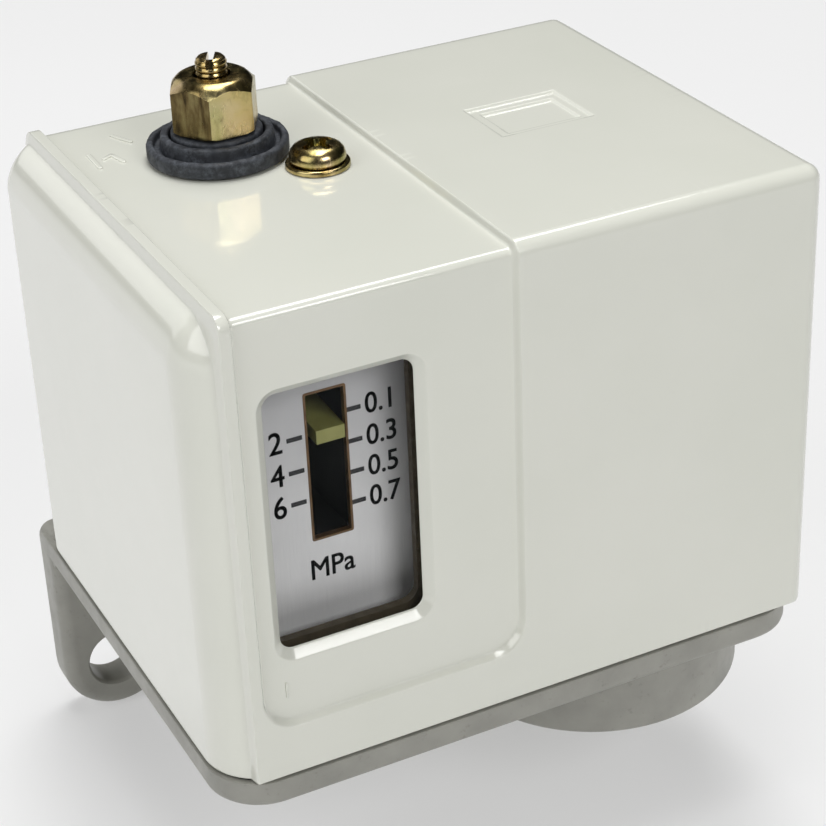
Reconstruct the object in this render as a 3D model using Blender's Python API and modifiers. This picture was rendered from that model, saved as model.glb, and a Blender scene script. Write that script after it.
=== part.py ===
"""Pressure switch with a range scale, a top adjuster and a wall-mounting base.

Metres, +Z up. The origin is on the rear face of the back plate, midway between the two bolt lugs and level
with the lower edge of the cover. The object stands in front of it, towards -Y.
"""
import math

import bmesh
import bpy
from mathutils import Matrix

MM = 0.001
GAP = 0.3 * MM                                    # clearance between touching pieces

# Cover
COVER_WIDTH = 83.3 * MM
COVER_DEPTH = 65.5 * MM
COVER_HEIGHT = 62.9 * MM
COVER_BACK = -6.0 * MM
COVER_FRONT = COVER_BACK - COVER_DEPTH
COVER_LEFT = -COVER_WIDTH / 2
COVER_RIGHT = COVER_WIDTH / 2
SHOULDER_WIDTH = 3.5 * MM                         # strip on the left that stands lower than the main block
SHOULDER_RADIUS = 7.5 * MM
SHOULDER_DROP = 0.3 * MM
EDGE_RADIUS = 2.0 * MM
COVER_WALL = 2.2 * MM
CEILING = 60.0 * MM
FRONT_WALL = 2.9 * MM
PANEL_LEFT = -36.3 * MM                           # recessed panel on the front and the top
PANEL_RIGHT = -1.05 * MM
PANEL_BOTTOM = 7.2 * MM
PANEL_DEPTH = 1.0 * MM
PANEL_RADIUS = 4.5 * MM
WINDOW_CENTRE = (-23.4 * MM, 34.15 * MM)          # X, Z
WINDOW_SIZE = (18.9 * MM, 34.0 * MM)
WINDOW_RADIUS = 1.6 * MM
LENS_THICKNESS = 1.4 * MM

# Base casting
BASE_WIDTH = 83.9 * MM
BASE_FRONT = -71.6 * MM
BASE_BOTTOM = -4.0 * MM
BASE_TOP = -0.3 * MM
FLOOR_TOP = -1.5 * MM
BASE_RADIUS = 7.5 * MM
LIP_OUTER = 39.15 * MM                            # raised lip inside the cover wall, half width
LIP_FRONT = COVER_FRONT + FRONT_WALL + GAP
LIP_BACK = -8.5 * MM
LIP_WALL = 1.5 * MM
LIP_TOP = 3.0 * MM
LIP_RADIUS = 5.0 * MM
PLATE_THICKNESS = 5.7 * MM
PLATE_TOP = 4.3 * MM                              # behind the cover
PLATE_CORNER_TOP = 0.3 * MM                       # beside it, level with the base rim
PLATE_STEP_X = (33.0 * MM, 37.0 * MM)             # slope between the two heights
LUG_X = 33.5 * MM
LUG_Z = -23.2 * MM
LUG_RADIUS = 8.4 * MM
PLATE_HALF_WIDTH = LUG_X + LUG_RADIUS
LUG_HOLE_X = 34.05 * MM
LUG_HOLE_Z = -23.0 * MM
LUG_HOLE_RADIUS = 4.2 * MM
LUG_FILLET = 4.0 * MM

# Pressure housing and bellows
PORT_X = 21.45 * MM
PORT_Y = -49.2 * MM
HOUSING_RADIUS = 20.4 * MM
HOUSING_BOTTOM = -14.0 * MM
SPIGOT_RADIUS = 15.7 * MM
CHAMBER_RADIUS = 14.2 * MM
CHAMBER_FLOOR = -5.0 * MM
PORT_RADIUS = 5.7 * MM
PORT_TOP = -6.5 * MM
FEED_RADIUS = 3.1 * MM                            # hole from the port into the bellows chamber
BELLOWS_RADIUS = 13.0 * MM
BELLOWS_TOP = 6.0 * MM
BELLOWS_FOLDS = 4
HOUSING_SCREW_CIRCLE = 17.9 * MM
HOUSING_SCREW_RADIUS = 1.0 * MM
SEAL_GROOVE = 0.9 * MM

# Lever
PIVOT_X = 35.0 * MM
PIVOT_Z = 10.0 * MM
PIN_RADIUS = 1.5 * MM
PIN_FRONT = -66.7 * MM
PIN_REAR = -30.7 * MM
PIN_PLAY = 0.1 * MM
PIN_BORE = (-68 * MM, -30 * MM)                   # how far the bore's cutter reaches along Y
EAR_FRONTS = (-66.9 * MM, -32.7 * MM)             # front faces of the two ears that hold the pin
EAR_THICKNESS = 1.6 * MM
LEVER_THICKNESS = 2.0 * MM
LEVER_BARREL = (-64 * MM, -33 * MM)
BARREL_RADIUS = 2.9 * MM
ACTUATOR_X = 2.0 * MM
ACTUATOR_Y = -37.75 * MM

# Adjuster
ADJUSTER_X = -19.05 * MM
ADJUSTER_Y = -26.5 * MM
BRIDGE_TOP = 55.0 * MM
SHEET = 1.5 * MM
NUT_Z = 45.0 * MM                                 # underside of the spring nut
SEAT_TOP = 12.8 * MM
POINTER_REAR = -20 * MM
POINTER_STEP = -38 * MM                           # where the pointer drops to the flag's height
FLAG_Z = (39.4 * MM, 41.2 * MM)
SPRING_RADIUS = 6.0 * MM
SPRING_WIRE = 0.8 * MM
SPRING_TURNS = 8
HEX_FLATS = 10.1 * MM
HEX_BOTTOM = 65.9 * MM
HEX_TOP = 72.8 * MM
HEX_TURN = math.radians(32.4)                     # one corner then points at the front left
DUST_RING = (3.5 * MM, 5.8 * MM)                  # inner and outer radius
SLEEVE_SHOULDER = 62.0 * MM
STUD_TOP = 75.0 * MM
STUD_RADIUS = 2.0 * MM
GROMMET_RADIUS = 9.0 * MM
GROMMET_HOLE = 6.1 * MM

# Cover screw and its washer
COVER_SCREW_X = -9.85 * MM
COVER_SCREW_Y = -36.5 * MM
COVER_SCREW_HOLE = 1.9 * MM
COVER_SCREW_END = 56.5 * MM
COVER_HEAD_RADIUS = 3.6 * MM
COVER_HEAD_HEIGHT = 2.2 * MM
WASHER_RADIUS = 4.1 * MM
FACE_GAP = 0.1 * MM                               # between the washer and what it lies on

# Small screws that go down into the base floor
SCREW_SHANK = 1.5 * MM
SCREW_HOLE = 1.8 * MM
SCREW_END = -3.0 * MM
HEAD_RADIUS = 2.8 * MM
HEAD_HEIGHT = 1.9 * MM
NUT_RADIUS = 3.1 * MM                             # of the small hexagon nuts, to their corners

# Dial
DIAL_FRONT = -63.5 * MM
DIAL_THICKNESS = 0.8 * MM
DIAL_LEFT = -36 * MM
DIAL_RIGHT = -4 * MM
DIAL_BOTTOM = 14.3 * MM
DIAL_TOP = 54 * MM
STEM_LEFT = -10 * MM                              # strip that carries the dial down to its foot
FOOT_REAR = -53.5 * MM
SLOT_X = (-25.35 * MM, -19.95 * MM)
SLOT_Z = (26.5 * MM, 46.6 * MM)

# Snap-action switch
SWITCH_LOW = (-6.0 * MM, -46.0 * MM, 18.0 * MM)
SWITCH_HIGH = (38.0 * MM, -29.5 * MM, 38.0 * MM)
TERMINAL_XS = (0.0 * MM, 16.0 * MM, 32.0 * MM)

TERMINAL_HOLE = 1.6 * MM
SWITCH_SCREW_END = -24.5 * MM
SWITCH_BRACKET_TOP = 33 * MM
SWITCH_BRACKET_REAR = -14 * MM

# Bent-sheet brackets
BEND_RADIUS = 2.5 * MM                            # outside of a bend
RANGE_BRACKET_X = (-30.5 * MM, -7 * MM)
RANGE_WALL_Y = (-12.6 * MM, -11.1 * MM)
RANGE_FOOT_FRONT = -37 * MM
BRIDGE_FRONT = -42 * MM

# Cable grommet
CABLE_X = -24.0 * MM
CABLE_Y = -50.0 * MM

WHITE = ("cover_gloss", (0.80, 0.81, 0.73, 1), 0.25, 0.0)
GREY = ("die_cast_grey", (0.24, 0.24, 0.21, 1), 0.5, 0.3)
ZINC = ("zinc_yellow", (0.62, 0.50, 0.26, 1), 0.3, 1.0)
STEEL = ("sheet_steel", (0.58, 0.58, 0.57, 1), 0.35, 1.0)
SPRING = ("spring_steel", (0.35, 0.36, 0.38, 1), 0.35, 1.0)
BRASS = ("brass", (0.72, 0.55, 0.25, 1), 0.3, 1.0)
RUBBER = ("black_rubber", (0.04, 0.045, 0.055, 1), 0.8, 0.0)
CLEAR = ("clear_lens", (0.9, 0.92, 0.92, 0.35), 0.05, 0.0)
DIAL = ("dial_silver", (0.42, 0.42, 0.43, 1), 0.4, 0.6)
POINTER = ("pointer_olive", (0.33, 0.33, 0.10, 1), 0.5, 0.0)
SWITCH = ("switch_phenolic", (0.03, 0.03, 0.035, 1), 0.45, 0.0)


def clear_scene():
    for item in list(bpy.data.objects):
        bpy.data.objects.remove(item, do_unlink=True)


def collection(name):
    group = bpy.data.collections.new(name)
    bpy.context.scene.collection.children.link(group)
    return group


def material(spec):
    name, colour, roughness, metallic = spec
    found = bpy.data.materials.get(name)
    if found:
        return found
    made = bpy.data.materials.new(name)
    made.use_nodes = True
    shader = made.node_tree.nodes["Principled BSDF"]
    shader.inputs["Base Color"].default_value = colour
    shader.inputs["Roughness"].default_value = roughness
    shader.inputs["Metallic"].default_value = metallic
    shader.inputs["Alpha"].default_value = colour[3]
    return made


def place(name, data, spec, location=(0, 0, 0)):
    """Put mesh or curve data in the scene as a named part, or as a cutter where spec is None."""
    made = bpy.data.objects.new(name, data)
    made.location = location
    if spec is None:
        CUTTERS.objects.link(made)
        made.hide_render = True
        made.display_type = "WIRE"
    else:
        PARTS.objects.link(made)
        data.materials.append(material(spec))
    return made


def mesh_from(name, bm, smooth=False):
    data = bpy.data.meshes.new(name)
    bmesh.ops.recalc_face_normals(bm, faces=bm.faces)
    bm.to_mesh(data)
    bm.free()
    if smooth:
        data.shade_smooth()
        data.set_sharp_from_angle(angle=math.radians(35))
    return data


def box(name, low, high, spec=None, bevel=0.0, segments=2):
    """Box between two corners, its origin at its centre."""
    bm = bmesh.new()
    size = [high[i] - low[i] for i in range(3)]
    bmesh.ops.create_cube(bm, size=1.0, matrix=Matrix.Diagonal((*size, 1)))
    if bevel:
        bmesh.ops.bevel(bm, geom=bm.edges[:], offset=bevel, segments=segments, profile=0.5, affect="EDGES")
    return place(name, mesh_from(name, bm), spec, [(low[i] + high[i]) / 2 for i in range(3)])


def rod(name, radius, low, high, centre, spec=None, axis="Z", segments=24):
    """Cylinder or prism along an axis from low to high; centre is where it crosses the other two."""
    bm = bmesh.new()
    turn = {"X": Matrix.Rotation(math.pi / 2, 4, "Y"), "Y": Matrix.Rotation(-math.pi / 2, 4, "X"),
            "Z": Matrix()}[axis]
    bmesh.ops.create_cone(bm, cap_ends=True, segments=segments, radius1=radius, radius2=radius,
                          depth=high - low, matrix=turn)
    middle = (low + high) / 2
    location = {"X": (middle, centre[0], centre[1]), "Y": (centre[0], middle, centre[1]),
                "Z": (centre[0], centre[1], middle)}[axis]
    return place(name, mesh_from(name, bm, smooth=segments > 8), spec, location)


def turned(name, profile, spec, centre, segments=32):
    """Solid of revolution about Z from a closed (radius, height) profile that runs down its outer side."""
    bm = bmesh.new()
    rings = [bm.verts.new((radius, 0, height)) for radius, height in profile]
    for i, vertex in enumerate(rings):
        following = rings[(i + 1) % len(rings)]
        if vertex.co.x > 1e-7 or following.co.x > 1e-7:
            bm.edges.new((vertex, following))
    data = bpy.data.meshes.new(name)
    bm.to_mesh(data)
    bm.free()
    made = place(name, data, spec, (centre[0], centre[1], 0))
    screw = made.modifiers.new("turn", "SCREW")
    screw.axis = "Z"
    screw.steps = segments
    screw.render_steps = segments
    screw.use_merge_vertices = True
    screw.merge_threshold = 0.00001
    screw.use_smooth_shade = True
    return made


def arc(centre, radius, start, end, count=6):
    """Points on an arc, angles in degrees."""
    turns = [math.radians(start + (end - start) * i / count) for i in range(count + 1)]
    return [(centre[0] + radius * math.cos(t), centre[1] + radius * math.sin(t)) for t in turns]


def rounded(low, high, radius, count=5):
    """Outline of a rounded rectangle between two corners."""
    radii = radius if isinstance(radius, tuple) else (radius,) * 4
    corners = ((low[0], low[1], 1, 1, 180), (high[0], low[1], -1, 1, 270),
               (high[0], high[1], -1, -1, 0), (low[0], high[1], 1, -1, 90))
    points = []
    for (x, y, sx, sy, start), r in zip(corners, radii):
        if r:
            points += arc((x + sx * r, y + sy * r), r, start, start + 90, count)
        else:
            points.append((x, y))
    return points


def plate(name, outlines, low, high, spec=None, plane="XY"):
    """Flat plate from outlines in a plane (later outlines are holes), between two heights across it."""
    curve = bpy.data.curves.new(name, "CURVE")
    curve.dimensions = "2D"
    curve.fill_mode = "BOTH"
    curve.extrude = (high - low) / 2
    for outline in outlines:
        spline = curve.splines.new("POLY")
        spline.points.add(len(outline) - 1)
        for point, (u, v) in zip(spline.points, outline):
            point.co = (u, v, 0, 1)
        spline.use_cyclic_u = True
    middle = (low + high) / 2
    turn = {"XY": Matrix(), "XZ": Matrix.Rotation(math.pi / 2, 4, "X"),
            "YZ": Matrix(((0, 0, 1, 0), (1, 0, 0, 0), (0, 1, 0, 0), (0, 0, 0, 1)))}[plane]
    shift = {"XY": (0, 0, middle), "XZ": (0, middle, 0), "YZ": (middle, 0, 0)}[plane]
    made = bpy.data.objects.new(name + "_outline", curve)
    CUTTERS.objects.link(made)
    bpy.context.view_layer.update()
    graph = bpy.context.evaluated_depsgraph_get()
    data = bpy.data.meshes.new_from_object(made.evaluated_get(graph))
    bpy.data.objects.remove(made, do_unlink=True)
    bm = bmesh.new()
    bm.from_mesh(data)
    bmesh.ops.remove_doubles(bm, verts=bm.verts, dist=1e-6)
    bmesh.ops.transform(bm, matrix=turn, verts=bm.verts)
    bpy.data.meshes.remove(data)
    return place(name, mesh_from(name, bm), spec, shift)


def combine(target, tools, operation="DIFFERENCE"):
    """Boolean tools into target, one modifier each; a tool that is no cutter yet becomes one."""
    for tool in tools:
        modifier = target.modifiers.new(operation.lower(), "BOOLEAN")
        modifier.operation = operation
        modifier.solver = "EXACT"
        modifier.object = tool


def screw_part(name, centre, top, head_radius, head_height, shank_radius, shank_end, spec, segments=20):
    """Round-head screw pointing down: shank up to the underside of the head at top."""
    cap = head_height * 0.35
    profile = [(0, top + head_height), (head_radius * 0.7, top + head_height),
               (head_radius, top + head_height - cap), (head_radius, top), (shank_radius, top),
               (shank_radius, shank_end), (0, shank_end)]
    return turned(name, profile, spec, centre, segments)


# ---------------------------------------------------------------- base

def plate_outline():
    """Back plate: raised behind the cover, two round lugs below."""
    right = [(PLATE_HALF_WIDTH, LUG_Z)]
    right += arc((LUG_X, LUG_Z), LUG_RADIUS, 0, -180, 14)[1:]
    inner = LUG_X - LUG_RADIUS - LUG_FILLET
    fillet = arc((inner, BASE_BOTTOM - LUG_FILLET), LUG_FILLET, 0, 90, 4)
    right += fillet
    left = [(-x, z) for x, z in reversed(right)]
    corner = 1.0 * MM
    slope_top, slope_foot = PLATE_STEP_X
    top_right = [(slope_top, PLATE_TOP), (slope_foot, PLATE_CORNER_TOP)]
    top_right += arc((PLATE_HALF_WIDTH - corner, PLATE_CORNER_TOP - corner), corner, 90, 0, 3)
    top_left = [(-x, z) for x, z in reversed(top_right)]
    return top_left + top_right + right + left


def base_casting():
    half = BASE_WIDTH / 2
    outline = rounded((-half, BASE_FRONT), (half, -2 * MM), (BASE_RADIUS, BASE_RADIUS, 0, 0))
    overlap = 0.4 * MM
    rim_width = 1.0 * MM
    tray = plate("base_casting", [outline], BASE_BOTTOM, FLOOR_TOP, GREY)
    inner_radius = BASE_RADIUS - rim_width
    inner_rim = rounded((-half + rim_width, BASE_FRONT + rim_width), (half - rim_width, -5 * MM),
                        (inner_radius, inner_radius, 1 * MM, 1 * MM))
    rim = plate("base_rim", [outline, inner_rim], FLOOR_TOP - overlap, BASE_TOP)
    lip_low = (-LIP_OUTER, LIP_FRONT)
    lip_high = (LIP_OUTER, LIP_BACK)
    inner_low = (-LIP_OUTER + LIP_WALL, LIP_FRONT + LIP_WALL)
    inner_high = (LIP_OUTER - LIP_WALL, LIP_BACK - LIP_WALL)
    lip = plate("base_lip", [rounded(lip_low, lip_high, LIP_RADIUS),
                             rounded(inner_low, inner_high, LIP_RADIUS - LIP_WALL)],
                FLOOR_TOP - overlap, LIP_TOP)
    back = plate("base_back", [plate_outline()], -PLATE_THICKNESS, 0, plane="XZ")
    ears = [box("base_ear", (PIVOT_X - 2.7 * MM, front, FLOOR_TOP - overlap),
                (PIVOT_X + 2.5 * MM, front + EAR_THICKNESS, PIVOT_Z + 3 * MM)) for front in EAR_FRONTS]
    combine(tray, [back, rim, lip] + ears, "UNION")
    clear = 0.5 * MM
    cutters = [rod("cut_spigot", SPIGOT_RADIUS + GAP, BASE_BOTTOM - clear, FLOOR_TOP + clear,
                   (PORT_X, PORT_Y), segments=40),
               rod("cut_cable", 8.0 * MM, BASE_BOTTOM - clear, FLOOR_TOP + clear, (CABLE_X, CABLE_Y)),
               rod("cut_pin", PIN_RADIUS + PIN_PLAY, *PIN_BORE, (PIVOT_X, PIVOT_Z), axis="Y", segments=16)]
    for side in (-1, 1):
        cutters.append(rod("cut_lug", LUG_HOLE_RADIUS, -PLATE_THICKNESS - clear, clear,
                           (side * LUG_HOLE_X, LUG_HOLE_Z), axis="Y"))
    for x, y in floor_screw_places():
        cutters.append(rod("cut_floor_screw", SCREW_HOLE, SCREW_END - 0.4 * MM, FLOOR_TOP + clear, (x, y),
                           segments=12))
    for x, y in housing_screw_places():
        cutters.append(rod("cut_housing_screw", HOUSING_SCREW_RADIUS + 0.2 * MM, BASE_BOTTOM - clear,
                           -2.2 * MM, (x, y), segments=12))
    combine(tray, cutters)


def floor_screw_places():
    """Screws that go down into the base floor: bracket feet, dial foot and earth."""
    return [*bracket_screw_places(), *switch_foot_places(), dial_screw_place(), earth_place()]


def bracket_screw_places():
    return [(-26.5 * MM, -33.5 * MM), (-11.5 * MM, -33.5 * MM)]


def switch_foot_places():
    return [(5 * MM, -19 * MM), (29 * MM, -19 * MM)]


def dial_screw_place():
    return (-6.0 * MM, -57.5 * MM)


def earth_place():
    return (-34.2 * MM, -20.0 * MM)


def housing_screw_places():
    """Three screws through the housing flange, between the spigot and its rim."""
    return [(PORT_X + HOUSING_SCREW_CIRCLE * math.cos(math.radians(a)),
             PORT_Y + HOUSING_SCREW_CIRCLE * math.sin(math.radians(a))) for a in (50, 170, 290)]


# ---------------------------------------------------------------- pressure side

def pressure_housing():
    chamfer = 0.8 * MM
    flange_top = BASE_BOTTOM - GAP
    rim = 1.5 * MM
    profile = [(CHAMBER_RADIUS, rim), (SPIGOT_RADIUS, rim), (SPIGOT_RADIUS, flange_top - SEAL_GROOVE),
               (SPIGOT_RADIUS + 0.85 * MM, flange_top - SEAL_GROOVE), (SPIGOT_RADIUS + 0.85 * MM, flange_top),
               (HOUSING_RADIUS, flange_top), (HOUSING_RADIUS, HOUSING_BOTTOM + chamfer),
               (HOUSING_RADIUS - chamfer, HOUSING_BOTTOM), (PORT_RADIUS, HOUSING_BOTTOM),
               (PORT_RADIUS, PORT_TOP), (FEED_RADIUS, PORT_TOP), (FEED_RADIUS, CHAMBER_FLOOR),
               (CHAMBER_RADIUS, CHAMBER_FLOOR)]
    housing = turned("pressure_housing", profile, GREY, (PORT_X, PORT_Y), 48)
    cutters = []
    for x, y in housing_screw_places():
        cutters.append(rod("cut_flange_screw", HOUSING_SCREW_RADIUS + 0.2 * MM, HOUSING_BOTTOM + 2 * MM, 0,
                           (x, y), segments=12))
        cutters.append(rod("cut_flange_head", 2.1 * MM, HOUSING_BOTTOM - 1 * MM, HOUSING_BOTTOM + 4 * MM,
                           (x, y), segments=16))
    combine(housing, cutters)


def housing_screws():
    for i, (x, y) in enumerate(housing_screw_places()):
        top = HOUSING_BOTTOM + 3.7 * MM
        head = 1.6 * MM
        wide = 1.8 * MM
        socket = 0.8 * MM
        profile = [(0, -2.6 * MM), (HOUSING_SCREW_RADIUS, -2.6 * MM), (HOUSING_SCREW_RADIUS, top),
                   (wide, top), (wide, top - head), (socket, top - head), (socket, top - head / 2),
                   (0, top - head / 2)]
        turned(f"housing_screw_{i + 1}", profile, STEEL, (x, y), 16)


def housing_seal():
    """O-ring in the step between spigot and flange."""
    middle = SPIGOT_RADIUS + 0.42 * MM
    section = 0.35 * MM
    height = BASE_BOTTOM - GAP - SEAL_GROOVE / 2
    profile = [(middle + section * math.cos(t), height + section * math.sin(t))
               for t in [math.radians(90 - 45 * i) for i in range(8)]]
    turned("housing_seal_ring", profile, RUBBER, (PORT_X, PORT_Y), 36)


def bellows():
    """Thin metal cup, open below, with its folds as a zigzag wall."""
    wall = 0.4 * MM
    foot = CHAMBER_FLOOR + GAP
    inner = BELLOWS_RADIUS - 3 * MM
    pitch = (BELLOWS_TOP - foot - 1.6 * MM) / BELLOWS_FOLDS
    outside = [(0, BELLOWS_TOP), (BELLOWS_RADIUS - 1 * MM, BELLOWS_TOP)]
    inside = [(0, BELLOWS_TOP - wall), (BELLOWS_RADIUS - 1 * MM - wall, BELLOWS_TOP - wall)]
    height = BELLOWS_TOP - 0.8 * MM
    for _ in range(BELLOWS_FOLDS):
        outside += [(BELLOWS_RADIUS, height), (inner, height - pitch / 2)]
        inside += [(BELLOWS_RADIUS - 2 * wall, height), (inner - 2 * wall, height - pitch / 2)]
        height -= pitch
    outside += [(BELLOWS_RADIUS, foot + 0.4 * MM), (BELLOWS_RADIUS, foot)]
    inside += [(BELLOWS_RADIUS - 2 * wall, foot + 0.4 * MM), (BELLOWS_RADIUS - 2 * wall, foot)]
    turned("bellows", outside + list(reversed(inside)), BRASS, (PORT_X, PORT_Y), 24)


def push_rod():
    low = BELLOWS_TOP + GAP
    high = PIVOT_Z - LEVER_THICKNESS / 2 - GAP
    profile = [(0, high), (1.2 * MM, high), (2.2 * MM, high - 0.8 * MM), (2.2 * MM, low + 1.2 * MM),
               (6 * MM, low + 1.2 * MM), (6 * MM, low), (0, low)]
    turned("push_rod", profile, STEEL, (PORT_X, PORT_Y), 20)


# ---------------------------------------------------------------- lever

def lever_outline():
    """Wide over the bellows, narrowing to a round end under the spring."""
    end = arc((ADJUSTER_X, ADJUSTER_Y), 8.5 * MM, 250, 60, 8)
    return [(PIVOT_X, -62.5 * MM), (8 * MM, -62.5 * MM), (-4 * MM, -45.5 * MM)] + end + \
           [(-1 * MM, -32 * MM), (PIVOT_X, -35 * MM)]


def main_lever():
    half = LEVER_THICKNESS / 2
    lever = plate("main_lever", [lever_outline()], PIVOT_Z - half, PIVOT_Z + half, STEEL)
    barrel = rod("lever_barrel", BARREL_RADIUS, *LEVER_BARREL, (PIVOT_X, PIVOT_Z), axis="Y")
    combine(lever, [barrel], "UNION")
    bore = rod("cut_lever_bore", PIN_RADIUS + PIN_PLAY, *PIN_BORE, (PIVOT_X, PIVOT_Z), axis="Y", segments=16)
    tapped = rod("cut_actuator", SCREW_HOLE, PIVOT_Z - 3 * MM, PIVOT_Z + 3 * MM, (ACTUATOR_X, ACTUATOR_Y),
                 segments=16)
    combine(lever, [bore, tapped])


def pivot_pin():
    head = rod("pivot_pin", PIN_RADIUS, PIN_FRONT, PIN_REAR + 0.2 * MM, (PIVOT_X, PIVOT_Z), STEEL, axis="Y",
               segments=16)
    cap = rod("pin_head", 2.4 * MM, PIN_REAR, PIN_REAR + 1.0 * MM, (PIVOT_X, PIVOT_Z), axis="Y", segments=16)
    combine(head, [cap], "UNION")


def pivot_clip():
    """Retaining clip, an open ring on the pin between the front ear and the barrel."""
    inner = PIN_RADIUS + 0.05 * MM
    outline = arc((PIVOT_X, PIVOT_Z), 2.9 * MM, 215, 505, 16) + arc((PIVOT_X, PIVOT_Z), inner, 505, 215, 16)
    plate("pivot_clip", [outline], -65.0 * MM, -64.4 * MM, SPRING, "XZ")


def actuator_screw():
    low = PIVOT_Z - 2.6 * MM
    tip = SWITCH_LOW[2] - 1.5 * MM - GAP
    collar = PIVOT_Z + LEVER_THICKNESS / 2 + GAP
    profile = [(0, tip), (1.0 * MM, tip), (1.5 * MM, tip - 0.5 * MM), (1.5 * MM, low), (0, low)]
    turned("actuator_screw", profile, BRASS, (ACTUATOR_X, ACTUATOR_Y), 16)
    nut = rod("actuator_nut", NUT_RADIUS, collar, collar + 2 * MM, (ACTUATOR_X, ACTUATOR_Y), ZINC, segments=6)
    combine(nut, [rod("cut_actuator_nut", 1.6 * MM, collar - 1 * MM, collar + 3 * MM,
                      (ACTUATOR_X, ACTUATOR_Y), segments=16)])


# ---------------------------------------------------------------- range spring and adjuster

def lower_seat():
    low = PIVOT_Z + LEVER_THICKNESS / 2 + GAP
    profile = [(0, SEAT_TOP + 1.8 * MM), (3.4 * MM, SEAT_TOP + 1.8 * MM), (4.6 * MM, SEAT_TOP + 0.8 * MM),
               (4.6 * MM, SEAT_TOP), (8 * MM, SEAT_TOP), (8 * MM, low), (0, low)]
    turned("lower_spring_seat", profile, ZINC, (ADJUSTER_X, ADJUSTER_Y), 28)


def range_spring():
    """Coil spring with its end turns closed up."""
    low = SEAT_TOP + GAP + SPRING_WIRE
    high = NUT_Z - GAP - SPRING_WIRE
    steps = 14
    closed = 1.0
    end_rise = 1.15 * 2 * SPRING_WIRE
    rise = (high - low - 2 * end_rise) / (SPRING_TURNS - 2 * closed)

    def height(turn):
        if turn < closed:
            return low + end_rise * turn
        if turn > SPRING_TURNS - closed:
            return high - end_rise * (SPRING_TURNS - turn)
        return low + end_rise + rise * (turn - closed)

    curve = bpy.data.curves.new("range_spring", "CURVE")
    curve.dimensions = "3D"
    curve.bevel_depth = SPRING_WIRE
    curve.bevel_resolution = 1
    curve.use_fill_caps = True
    spline = curve.splines.new("POLY")
    count = SPRING_TURNS * steps
    spline.points.add(count)
    for i, point in enumerate(spline.points):
        angle = 2 * math.pi * i / steps
        point.co = (SPRING_RADIUS * math.cos(angle), SPRING_RADIUS * math.sin(angle), height(i / steps), 1)
    made = place("range_spring", curve, SPRING, (ADJUSTER_X, ADJUSTER_Y, 0))
    weld = made.modifiers.new("weld", "WELD")
    weld.merge_threshold = 0.00001


def spring_nut():
    """Upper seat: a plate threaded on the adjusting screw, with a spigot inside the spring."""
    bore = 3.15 * MM
    top = NUT_Z + 2.6 * MM
    spigot = NUT_Z - 2.4 * MM
    profile = [(bore, top), (8 * MM, top), (8 * MM, NUT_Z), (4.7 * MM, NUT_Z), (4.7 * MM, spigot),
               (bore, spigot)]
    turned("spring_nut", profile, ZINC, (ADJUSTER_X, ADJUSTER_Y), 28)


def setpoint_pointer():
    """Strip fixed on the spring nut, stepped down and forward, with its flag in the dial slot."""
    thickness = 1.0 * MM
    high = NUT_Z + 2.6 * MM + GAP
    tip = DIAL_FRONT + 0.1 * MM
    step_front = POINTER_STEP - thickness
    flag_low, flag_high = FLAG_Z
    side = [(POINTER_REAR, high), (POINTER_REAR, high + thickness), (step_front, high + thickness),
            (step_front, flag_high + thickness), (tip, flag_high), (tip, flag_low),
            (POINTER_STEP, flag_low), (POINTER_STEP, high)]
    strip = plate("setpoint_pointer", [side], SLOT_X[0] + 1.4 * MM, SLOT_X[1] - GAP, POINTER, "YZ")
    low_corner = (ADJUSTER_X - 6 * MM, POINTER_STEP)
    high_corner = (ADJUSTER_X + 6 * MM, POINTER_REAR)
    tail = plate("pointer_tail", [rounded(low_corner, high_corner, 0)], high, high + thickness)
    combine(strip, [tail], "UNION")
    combine(strip, [rod("cut_tail", 3.4 * MM, high - 1 * MM, high + 2 * MM, (ADJUSTER_X, ADJUSTER_Y))])


def adjusting_screw():
    """Slotted stud above, collar under the bridge, thread below."""
    collar_top = BRIDGE_TOP - SHEET - GAP
    profile = [(0, STUD_TOP), (STUD_RADIUS - 0.25 * MM, STUD_TOP), (STUD_RADIUS, STUD_TOP - 0.3 * MM),
               (STUD_RADIUS, collar_top), (4.5 * MM, collar_top), (4.5 * MM, collar_top - 1.5 * MM),
               (3.0 * MM, collar_top - 1.5 * MM), (3.0 * MM, 30.5 * MM), (2.5 * MM, 30 * MM), (0, 30 * MM)]
    screw = turned("adjusting_screw", profile, ZINC, (ADJUSTER_X, ADJUSTER_Y), 24)
    slot = box("cut_slot", (-3 * MM, -0.4 * MM, -0.6 * MM), (3 * MM, 0.4 * MM, 0.6 * MM))
    slot.location = (ADJUSTER_X, ADJUSTER_Y, STUD_TOP)
    slot.rotation_euler = (0, 0, math.radians(62))
    combine(screw, [slot])


def guide_bushing():
    """Threaded sleeve on the bridge that carries the lock nut; the adjusting screw turns inside it."""
    bore = STUD_RADIUS + 0.3 * MM
    low = BRIDGE_TOP + GAP
    profile = [(bore, 69.5 * MM), (3.2 * MM, 69.5 * MM), (3.2 * MM, SLEEVE_SHOULDER),
               (4.3 * MM, SLEEVE_SHOULDER), (4.3 * MM, low + 1.8 * MM), (6.5 * MM, low + 1.8 * MM),
               (6.5 * MM, low), (bore, low)]
    turned("guide_bushing", profile, ZINC, (ADJUSTER_X, ADJUSTER_Y), 24)


def dust_ring():
    """Rubber ring on the sleeve's shoulder that fills the grommet's hole under the lock nut."""
    inner, outer = DUST_RING
    low = SLEEVE_SHOULDER + GAP
    high = HEX_BOTTOM - GAP
    profile = [(inner, high), (outer - 0.4 * MM, high), (outer, high - 0.4 * MM), (outer, low), (inner, low)]
    turned("dust_ring", profile, RUBBER, (ADJUSTER_X, ADJUSTER_Y), 32)


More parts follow.
